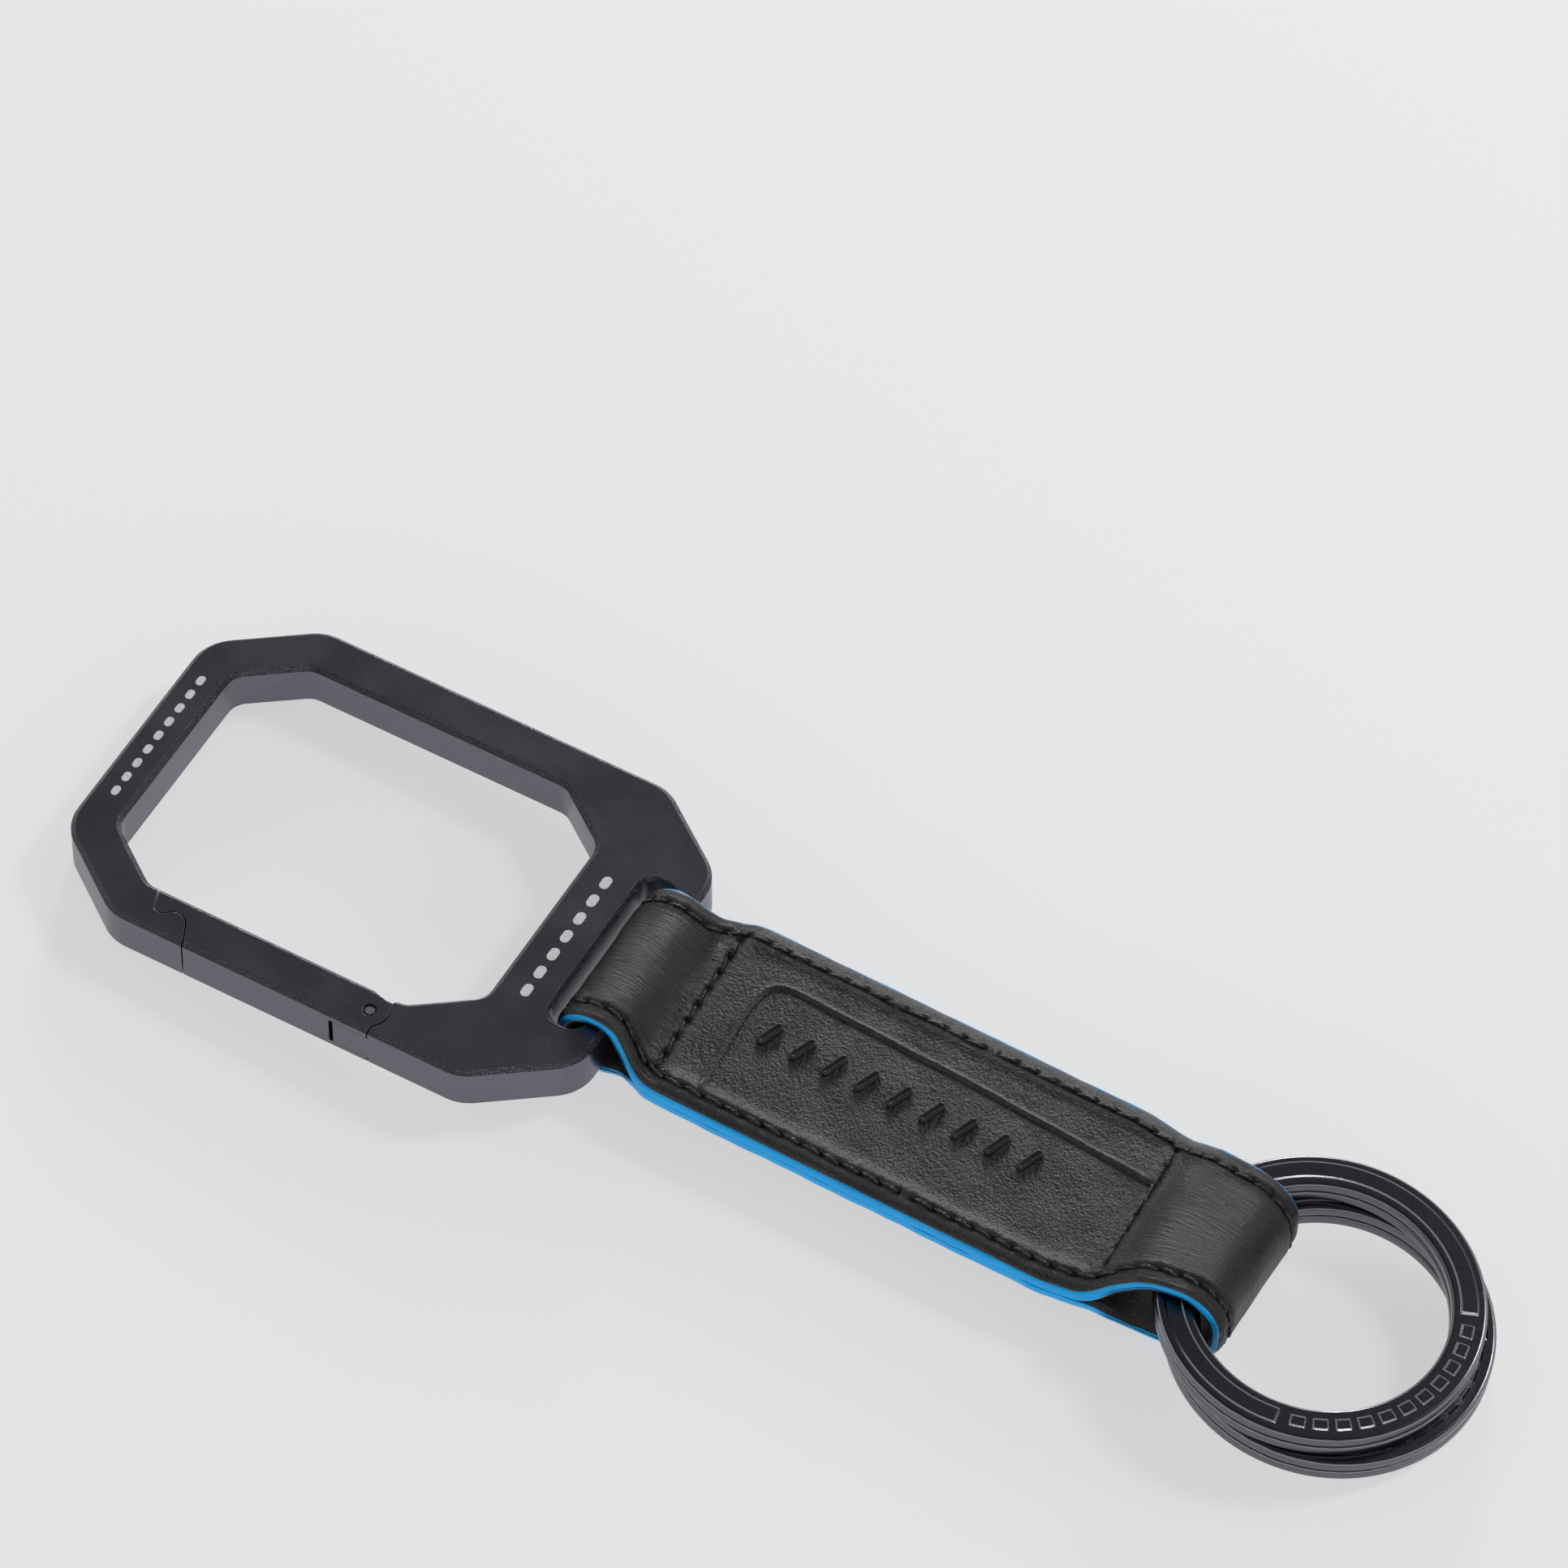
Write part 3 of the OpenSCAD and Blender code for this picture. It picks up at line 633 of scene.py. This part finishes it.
def on_plate(x, y, z):
    return bar + plate_x * x + Vector((0, y, 0)) + hinge_axis * z


def ink(name, dashes):
    verts, faces = [], []
    for cx, cy, wx, wy in dashes:
        base = len(verts)
        r = min(wx, wy) / 2
        ring = 16
        for z in (PLATE_TOP - 0.01 * MM, PLATE_TOP + 0.02 * MM):
            for q in range(ring):
                a = 2 * math.pi * (q + 0.5) / ring
                px = cx + r * math.cos(a) + math.copysign(wx / 2 - r, math.cos(a))
                py = cy + r * math.sin(a) + math.copysign(wy / 2 - r, math.sin(a))
                verts.append(on_plate(px, py, z))
        for q in range(ring):
            q2 = (q + 1) % ring
            faces.append((base + q, base + q2, base + ring + q2, base + ring + q))
        faces.append(tuple(base + q for q in range(ring))[::-1])
        faces.append(tuple(base + ring + q for q in range(ring)))
    mesh = bpy.data.meshes.new(name)
    mesh.from_pydata([tuple(v) for v in verts], [], faces)
    mesh.update()
    obj = bpy.data.objects.new(name, mesh)
    bpy.context.scene.collection.objects.link(obj)
    return obj


nose_x, web_x = -51.9 * MM, -7.4 * MM
nose_dashes = [(nose_x, (-6.9 + 1.85 * k) * MM, 0.75 * MM, 1.15 * MM) for k in range(9)]
web_dashes = [(web_x, (-7.6 + 2.35 * k) * MM, 0.95 * MM, 1.5 * MM) for k in range(7)]
print_nose = ink("print_nose", nose_dashes)
print_web = ink("print_web", web_dashes)
print("dashes:", len(nose_dashes) + len(web_dashes))

# %% [markdown]
# ## Materials
# Every material is procedural and sized in millimetres. A small helper builds the node tree, so
# that each recipe below reads as a list of what the surface has.

# %% Helpers for materials


class Recipe:
    def __init__(self, name, color, rough, metal=0.0, spec=0.5):
        self.mat = bpy.data.materials.new(name)
        self.mat.use_nodes = True
        self.mat.diffuse_color = (*color, 1)
        self.nodes, self.links = self.mat.node_tree.nodes, self.mat.node_tree.links
        self.bsdf = self.nodes["Principled BSDF"]
        self.bsdf.inputs["Base Color"].default_value = (*color, 1)
        self.bsdf.inputs["Roughness"].default_value = rough
        self.bsdf.inputs["Metallic"].default_value = metal
        self.bsdf.inputs["Specular IOR Level"].default_value = spec
        self.coords = self.nodes.new("ShaderNodeTexCoord")

    def node(self, kind, **inputs):
        n = self.nodes.new(kind)
        for key, value in inputs.items():
            numbered = key[0] == "i" and key[1:].isdigit()
            socket = n.inputs[int(key[1:]) if numbered else key.replace("_", " ")]
            if hasattr(value, "is_output"):
                self.links.new(value, socket)
            else:
                socket.default_value = value
        return n

    def stretched(self, space, scale):
        m = self.node("ShaderNodeMapping", Vector=self.coords.outputs[space])
        m.inputs["Scale"].default_value = scale
        return m.outputs["Vector"]

    def noise(self, vector, scale=1.0, detail=3.0, rough=0.55):
        return self.node("ShaderNodeTexNoise", Vector=vector, Scale=scale, Detail=detail,
                         Roughness=rough).outputs[0]

    def math(self, op, a, b=0.0, c=0.0):
        n = self.nodes.new("ShaderNodeMath")
        n.operation = op
        for k, value in enumerate((a, b, c)):
            if hasattr(value, "is_output"):
                self.links.new(value, n.inputs[k])
            else:
                n.inputs[k].default_value = value
        return n.outputs[0]

    def remap(self, value, a, b, c, d):
        n = self.node("ShaderNodeMapRange", Value=value)
        n.interpolation_type = "SMOOTHSTEP"
        for k, v in zip((1, 2, 3, 4), (a, b, c, d)):
            n.inputs[k].default_value = v
        return n.outputs[0]

    def bump(self, height, distance, strength=1.0, after=None):
        n = self.node("ShaderNodeBump", Height=height, Strength=strength, Distance=distance)
        if after is not None:
            self.links.new(after, n.inputs["Normal"])
        return n.outputs["Normal"]

    def bevel(self, radius):
        n = self.node("ShaderNodeBevel", Radius=radius)
        n.samples = 4
        return n.outputs["Normal"]

    def color_between(self, factor, a, b):
        n = self.nodes.new("ShaderNodeMix")
        n.data_type = "RGBA"
        self.links.new(factor, n.inputs[0])
        for k, color in ((6, a), (7, b)):
            if hasattr(color, "is_output"):
                self.links.new(color, n.inputs[k])
            else:
                n.inputs[k].default_value = (*color, 1)
        return n.outputs[2]

    def use(self, name, value):
        self.links.new(value, self.bsdf.inputs[name])

    def const(self, **inputs):
        for key, value in inputs.items():
            self.bsdf.inputs[key.replace("_", " ")].default_value = value


print("helpers ready")

# %% [markdown]
# Blasted and anodised aluminium is near black with a slight violet cast and a fine satin texture.
# Its chamfers get painted shade: their base colour is darkened to stand in for the dim part of the
# studio that they reflect. Bright specks show where single facets catch the light. One material
# does both: the slope of a face decides how much of a chamfer it is.

# %% Anodised metal
m = Recipe("anodised_black", (0.200, 0.196, 0.235), 0.33, metal=1.0)
fine = m.noise(m.stretched("Object", (9000, 9000, 9000)), detail=2.0)
cloud = m.noise(m.stretched("Object", (160, 160, 160)), detail=3.0)
tilt = m.node("ShaderNodeSeparateXYZ", Vector=m.coords.outputs["Normal"])
steep = m.math("ABSOLUTE", tilt.outputs["Z"])
chamfer = m.math("MULTIPLY", m.remap(steep, 0.25, 0.5, 0, 1), m.remap(steep, 0.86, 0.97, 1, 0))
sparkle_at = m.stretched("Object", (7000, 7000, 7000))
sparkle = m.node("ShaderNodeTexVoronoi", Vector=sparkle_at, Scale=1.0)
satin = m.math("ADD", m.remap(cloud, 0.3, 0.7, 0.28, 0.33), m.math("MULTIPLY", fine, 0.04))
m.use("Roughness", m.math("SUBTRACT", satin, m.math("MULTIPLY", chamfer, 0.08)))
flat = m.color_between(m.remap(fine, 0.35, 0.7, 0, 1), (0.155, 0.152, 0.188), (0.205, 0.201, 0.243))
# painted shade: the chamfers' base colour is darkened for the dim light they reflect
painted_chamfer_shade = m.math("MULTIPLY", chamfer, 0.75)
m.use("Base Color", m.color_between(painted_chamfer_shade, flat, (0.030, 0.029, 0.036)))
grain = m.bump(fine, 0.00002, 0.35, after=m.bevel(0.00005))
specks = m.math("MULTIPLY", sparkle.outputs["Distance"], chamfer)
m.use("Normal", m.bump(specks, 0.00012, 1.0, after=grain))
anodised = m.mat
print("made", anodised.name)

# %% [markdown]
# The leather is smooth calf with a fine pebble grain. In the folds its fibres show as streaks,
# and beside the thread it is gathered, so both get a relief of their own on top of the grain.

# %% Leather
m = Recipe("leather_black", (0.020, 0.0195, 0.021), 0.42, spec=0.5)
uv = m.stretched("UV", (100, 100, 100))          # 1 unit is a millimetre
pebble = m.node("ShaderNodeTexVoronoi", Vector=uv, Scale=3.4, Randomness=0.95)
pebble.feature = "SMOOTH_F1"
pebble.inputs["Smoothness"].default_value = 0.5
grain = m.noise(uv, 4.2, 5.0, 0.62)
crinkle = m.noise(m.stretched("UV", (150, 60, 100)), 1.6, 4.0, 0.65)
fibres = m.noise(m.stretched("UV", (45, 330, 100)), 1.0, 4.0, 0.65)
wear = m.noise(uv, 0.35, 3.0)
place = m.node("ShaderNodeSeparateXYZ", Vector=m.coords.outputs["Object"])
at_bar = m.remap(place.outputs["X"], bar.x + 8.5 * MM, bar.x + 5.5 * MM, 0, 1)
at_ring = m.remap(place.outputs["X"], fold_x - 12 * MM, fold_x - 6 * MM, 0, 1)
folded = m.math("MAXIMUM", at_bar, at_ring)
gather = m.node("ShaderNodeAttribute")
gather.attribute_name = "pucker"
gather = gather.outputs["Fac"]
m.use("Roughness", m.math("ADD", m.remap(wear, 0.3, 0.7, 0.27, 0.36),
                          m.math("MULTIPLY", m.math("SUBTRACT", grain, 0.5), 0.15)))
m.use("Base Color", m.color_between(m.remap(wear, 0.25, 0.75, 0, 1),
                                    (0.0075, 0.0073, 0.0088), (0.0125, 0.0121, 0.0143)))
skin = m.bump(pebble.outputs["Distance"], 0.00007, 0.8)
skin = m.bump(grain, 0.00011, 0.9, after=skin)
skin = m.bump(crinkle, 0.00028, 0.6, after=skin)
skin = m.bump(m.math("MULTIPLY", fibres, folded), 0.00070, 1.0, after=skin)
gathers = m.noise(uv, 2.0, 4.0, 0.75)
skin = m.bump(m.math("MULTIPLY", gathers, gather), 0.00100, 1.0, after=skin)
m.use("Normal", skin)
leather_mat = m.mat
print("made", leather_mat.name)

# %% [markdown]
# Edge paint is a thick acrylic, a saturated blue with a soft shine. Faint brush waves run along
# the strip, and its colour varies a little from coat to coat.

# %% Edge paint
m = Recipe("edge_paint_blue", (0.001, 0.355, 0.800), 0.32, spec=0.28)
brush = m.noise(m.stretched("UV", (60, 900, 1)), 1.0, 2.0)
patch = m.noise(m.stretched("UV", (25, 25, 1)), 1.0, 2.0)
m.use("Base Color", m.color_between(patch, (0.001, 0.325, 0.760), (0.002, 0.385, 0.850)))
m.use("Normal", m.bump(brush, 0.00004, 0.3))
paint_mat = m.mat
print("made", paint_mat.name)

# %% [markdown]
# Waxed thread is a twist of filaments. The twist is in the mesh, so the material only adds fuzz.

# %% Thread
m = Recipe("thread_black", (0.010, 0.010, 0.011), 0.36)
ply = m.noise(m.stretched("Object", (2600, 2600, 2600)), 1.0, 2.0)
m.use("Normal", m.bump(ply, 0.00020, 1.0))
m.use("Base Color", m.color_between(ply, (0.006, 0.006, 0.007), (0.014, 0.014, 0.016)))
thread_mat = m.mat
print("made", thread_mat.name)

# %% [markdown]
# Pad-printed ink is matt and a little uneven, because it lies on a blasted face.

# %% Ink
m = Recipe("print_white", (0.78, 0.78, 0.78), 0.55)
speck = m.noise(m.stretched("Object", (5000, 5000, 5000)))
m.use("Base Color", m.color_between(m.remap(speck, 0.3, 0.6, 0, 1),
                                    (0.66, 0.66, 0.67), (0.82, 0.82, 0.82)))
ink_mat = m.mat
print("made", ink_mat.name)

# %% [markdown]
# The raised bars are harder and smoother than the leather round them, so they shine more.

# %% Raised bars
m = Recipe("raised_bar", (0.012, 0.012, 0.013), 0.26)
grit = m.noise(m.stretched("Object", (3500, 3500, 3500)), 1.0, 3.0)
m.use("Normal", m.bump(grit, 0.00003, 0.5))
m.use("Roughness", m.remap(grit, 0.3, 0.7, 0.20, 0.32))
bar_mat = m.mat
print("made", bar_mat.name)

# %% [markdown]
# The rings carry a black coating over steel. A shallow channel runs round the middle of the face
# and stops where short marks are stamped. Both are relief in the material, measured from the
# ring's own centre, because they are too shallow to change the ring's outline.

# %% Ring coating
CHANNEL_R = 13.38 * MM                       # radius of the channel's middle
HALF_BEAT = 4.4                              # half the angle from mark to mark, in degrees
MARKS_FROM, MARKS_TO = -74.8, 22.0           # where the marks start and stop, in degrees


def ring_material(name, joint):
    centre = joints[joint]["pos_m"]
    m = Recipe(name, (0.150, 0.148, 0.170), 0.25, metal=1.0)
    local = m.node("ShaderNodeVectorMath", i0=m.coords.outputs["Object"],
                   i1=tuple(-c for c in centre))
    part = m.node("ShaderNodeSeparateXYZ", Vector=local.outputs[0])
    x, y = part.outputs["X"], part.outputs["Y"]
    r = m.math("SQRT", m.math("ADD", m.math("MULTIPLY", x, x), m.math("MULTIPLY", y, y)))
    angle = m.math("MULTIPLY", m.math("ARCTAN2", y, x), 180 / math.pi)
    off = m.math("ABSOLUTE", m.math("SUBTRACT", r, CHANNEL_R))
    channel = m.remap(off, 0.66 * MM, 0.86 * MM, 1, 0)
    centre_a, spread = (MARKS_FROM + MARKS_TO) / 2, (MARKS_TO - MARKS_FROM) / 2
    turn = m.math("SUBTRACT", angle, centre_a)
    turn = m.math("FLOORED_MODULO", m.math("ADD", turn, 180.0), 360.0)
    turn = m.math("ABSOLUTE", m.math("SUBTRACT", turn, 180.0))
    outside = m.remap(turn, spread + 3.0, spread + 4.5, 0, 1)
    inside = m.remap(turn, spread - 1.0, spread, 1, 0)
    beat = m.math("PINGPONG", angle, HALF_BEAT)
    stroke = m.remap(beat, 2.5, 3.1, 1, 0)
    band = m.remap(off, 0.42 * MM, 0.64 * MM, 1, 0)
    stamped = m.math("MULTIPLY", inside, m.math("MULTIPLY", stroke, band))
    cut = m.math("MAXIMUM", m.math("MULTIPLY", channel, outside), stamped)
    height = m.math("SUBTRACT", 1.0, cut)
    fine = m.noise(m.stretched("Object", (5000, 5000, 5000)), 1.0, 2.0)
    normal = m.bump(height, 0.00025, 1.0)
    m.use("Normal", normal)
    m.use("Roughness", m.remap(fine, 0.3, 0.7, 0.22, 0.27))
    return m.mat


ring_upper_mat = ring_material("ring_black_upper", "upper_ring_turn")
ring_lower_mat = ring_material("ring_black_lower", "lower_ring_turn")
print("made", ring_upper_mat.name, "and", ring_lower_mat.name)

# %% [markdown]
# Pin, plunger and spring are bare steel, with fine turning marks.

# %% Bare steel
m = Recipe("pin_steel", (0.62, 0.62, 0.63), 0.28, metal=1.0)
lathe = m.noise(m.stretched("Object", (9000, 9000, 200)))
m.use("Normal", m.bump(lathe, 0.00001, 0.4))
m.use("Roughness", m.remap(lathe, 0.3, 0.7, 0.22, 0.36))
steel_mat = m.mat
print("made", steel_mat.name)

# %% [markdown]
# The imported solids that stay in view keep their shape. Only their shading is refined: faces that
# meet at a small angle share a normal, so a corner made of short flats reads as a curve.

# %% Helper that shares normals between nearly level faces
SAME_POINT = 2e-6                            # corners closer than this are one corner


def soften(obj, limit=28):
    """limit: faces that meet at a smaller angle than this, in degrees, share a normal."""
    mesh = obj.data
    n_loops, n_faces = len(mesh.loops), len(mesh.polygons)
    co = np.zeros(len(mesh.vertices) * 3, np.float32)
    mesh.vertices.foreach_get("co", co)
    index = np.zeros(n_loops, np.int32)
    mesh.loops.foreach_get("vertex_index", index)
    face_normal = np.zeros(n_faces * 3, np.float32)
    mesh.polygons.foreach_get("normal", face_normal)
    area = np.zeros(n_faces, np.float32)
    mesh.polygons.foreach_get("area", area)
    total = np.zeros(n_faces, np.int32)
    mesh.polygons.foreach_get("loop_total", total)
    face_normal = face_normal.reshape(-1, 3)
    face_of = np.repeat(np.arange(n_faces), total)
    where = np.round(co.reshape(-1, 3)[index] / SAME_POINT).astype(np.int64)
    _, group = np.unique(where, axis=0, return_inverse=True)
    group = group.ravel()
    order = np.argsort(group, kind="stable")
    bounds = np.r_[0, np.flatnonzero(np.diff(group[order])) + 1, n_loops]
    out = np.zeros((n_loops, 3), np.float32)
    wall = math.cos(math.radians(limit))
    for a, b in zip(bounds, bounds[1:]):
        loops = order[a:b]
        normals = face_normal[face_of[loops]]
        close = (normals @ normals.T) > wall
        out[loops] = (close * area[face_of[loops]][None, :]) @ normals
    length = np.linalg.norm(out, axis=1)
    out[length < 1e-12] = face_normal[face_of[length < 1e-12]]
    out /= np.maximum(np.linalg.norm(out, axis=1), 1e-12)[:, None]
    mesh.polygons.foreach_set("use_smooth", np.ones(n_faces, bool))
    mesh.normals_split_custom_set([tuple(v) for v in out])
    mesh.update()


print("shading helper ready")

# %% [markdown]
# The plate and the gate are one finish, the hidden works are bare steel, and each ring has its own
# coating because its channel is measured from its own centre.

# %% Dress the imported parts
dress = {"carabiner_frame": anodised, "gate": anodised, "gate_pin": steel_mat,
         "gate_plunger": steel_mat, "gate_spring": steel_mat,
         "upper_split_ring": ring_upper_mat, "lower_split_ring": ring_lower_mat}
for name, material in dress.items():
    nodes[name].data.materials.clear()
    nodes[name].data.materials.append(material)
    soften(nodes[name])
print("dressed", len(dress), "parts")

# %% [markdown]
# Leather, paint, thread and bars can be had in other colours, so each finish is listed with a slot
# name beside its material. The ink belongs to the plate and has none. Only the material is given
# here; the slot names are not used.

# %% Give each piece its finish
finishes = (
    (leather, leather_mat, "black_leather"),
    (paint_near, paint_mat, "blue_edge_paint"), (paint_far, paint_mat, "blue_edge_paint"),
    (thread_near, thread_mat, "black_thread"), (thread_far, thread_mat, "black_thread"),
    (thread_bar_row, thread_mat, "black_thread"), (thread_ring_row, thread_mat, "black_thread"),
    (marks, bar_mat, "raised_vinyl"), (print_nose, ink_mat, None), (print_web, ink_mat, None))
for obj, material, slot in finishes:
    obj.data.materials.append(material)
print("finished", len(finishes), "pieces")

# %% [markdown]
# Each new piece takes the place of the plain solids that it was made from, which are hidden. The
# thread rows and the bars are hung on the strap's body and the print on the carabiner's. The
# leather, the paint and the edge threads cross the bend in front of the rings; their placing is
# only baked into their meshes. The stiff board is shut in between the two skins, so the leather
# strip stands for it as well.

# %% Hang pieces on their bodies and hide the parts they replace
for obj in (leather, paint_near, paint_far, thread_near, thread_far):
    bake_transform(obj)
for obj in (thread_bar_row, thread_ring_row, marks):
    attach(obj, "strap")
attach(print_nose, "carabiner")
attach(print_web, "carabiner")
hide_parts("front_leather", "back_leather", "stiffener",
            "bar_loop_leather", "ring_loop_leather")
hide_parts("edge_paint_near", "bar_loop_paint", "ring_loop_paint")
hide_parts("edge_paint_far")
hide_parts("stitching_near", "bar_loop_stitching", "ring_loop_stitching")
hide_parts("stitching_far")
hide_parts("stitching_bar_row")
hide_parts("stitching_ring_row")
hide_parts("raised_bars")
print("pieces placed")

# %% [markdown]
# ## Studio
# The table is pale and glows softly, so that the shadows on it stay weak.

# %% Table
mesh = bpy.data.meshes.new("table")
reach = 3.0
corners = [(-reach, -reach, 0), (reach, -reach, 0), (reach, reach, 0), (-reach, reach, 0)]
mesh.from_pydata(corners, [], [(0, 1, 2, 3)])
table = bpy.data.objects.new("table", mesh)
bpy.context.scene.collection.objects.link(table)
m = Recipe("table_pale", (0.36, 0.36, 0.36), 0.9, spec=0.0)
m.const(Emission_Color=(1, 1, 1, 1), Emission_Strength=0.56)
mesh.materials.append(m.mat)
print("table ready")

# %% [markdown]
# Black metal shows what it reflects. So the dome is dark overhead and bright near the table: flat
# tops stay dark while upright walls turn grey.

# %% Dome
world = bpy.data.worlds.new("dome")
bpy.context.scene.world = world
world.use_nodes = True
tree = world.node_tree
sky = tree.nodes["Background"]
coords = tree.nodes.new("ShaderNodeTexCoord")
split = tree.nodes.new("ShaderNodeSeparateXYZ")
tree.links.new(coords.outputs["Generated"], split.inputs[0])
ramp = tree.nodes.new("ShaderNodeValToRGB")
tree.links.new(split.outputs["Z"], ramp.inputs[0])
ramp.color_ramp.elements[0].position = 0.25
ramp.color_ramp.elements[0].color = (1.7, 1.7, 1.7, 1)
ramp.color_ramp.elements[1].position = 0.55
ramp.color_ramp.elements[1].color = (0.08, 0.08, 0.084, 1)
tree.links.new(ramp.outputs[0], sky.inputs["Color"])
sky.inputs["Strength"].default_value = 1.0
print("dome ready")

# %% [markdown]
# Two small lamps behind the object draw bright lines along its far edges and over the folds.

# %% Lamps


def lamp(name, azimuth, elevation, energy, size, distance=0.9):
    data = bpy.data.lights.new(name, "AREA")
    data.energy, data.size = energy, size
    obj = bpy.data.objects.new(name, data)
    a, e = math.radians(azimuth), math.radians(elevation)
    way = Vector((math.sin(a) * math.cos(e), -math.cos(a) * math.cos(e), math.sin(e)))
    obj.location = way * distance
    obj.rotation_euler = way.to_track_quat("Z", "Y").to_euler()
    bpy.context.scene.collection.objects.link(obj)


lamp("right_back", 146, 42, 2.2, 0.16)
lamp("low_back", 202, 14, 3.0, 0.14)
bpy.context.scene.view_settings.view_transform = "Standard"
print("lamps: 2")

# %% [markdown]
# The camera is a long lens well above the table, turned a little so that the object runs from the
# upper left to the lower right.

# %% Camera
low_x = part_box("carabiner_frame")[0].x
azimuth, elevation, roll = (math.radians(v) for v in (28.02, 53.34, 2.51))
back = Vector((math.sin(azimuth) * math.cos(elevation),
               -math.cos(azimuth) * math.cos(elevation), math.sin(elevation)))
level = Vector((math.cos(azimuth), math.sin(azimuth), 0))
right = level * math.cos(roll) + back.cross(level) * math.sin(roll)
up = back.cross(right)
eye = Vector((low_x + 0.34653, -0.52322, 0.84030))
data = bpy.data.cameras.new("camera")
data.sensor_width = 36
data.lens = 258.84
data.clip_end = 10
camera = bpy.data.objects.new("camera", data)
camera.matrix_world = Matrix((
    (right.x, up.x, back.x, eye.x), (right.y, up.y, back.y, eye.y),
    (right.z, up.z, back.z, eye.z), (0, 0, 0, 1)))
bpy.context.scene.collection.objects.link(camera)
bpy.context.scene.camera = camera
print("camera %.0f mm lens" % data.lens)
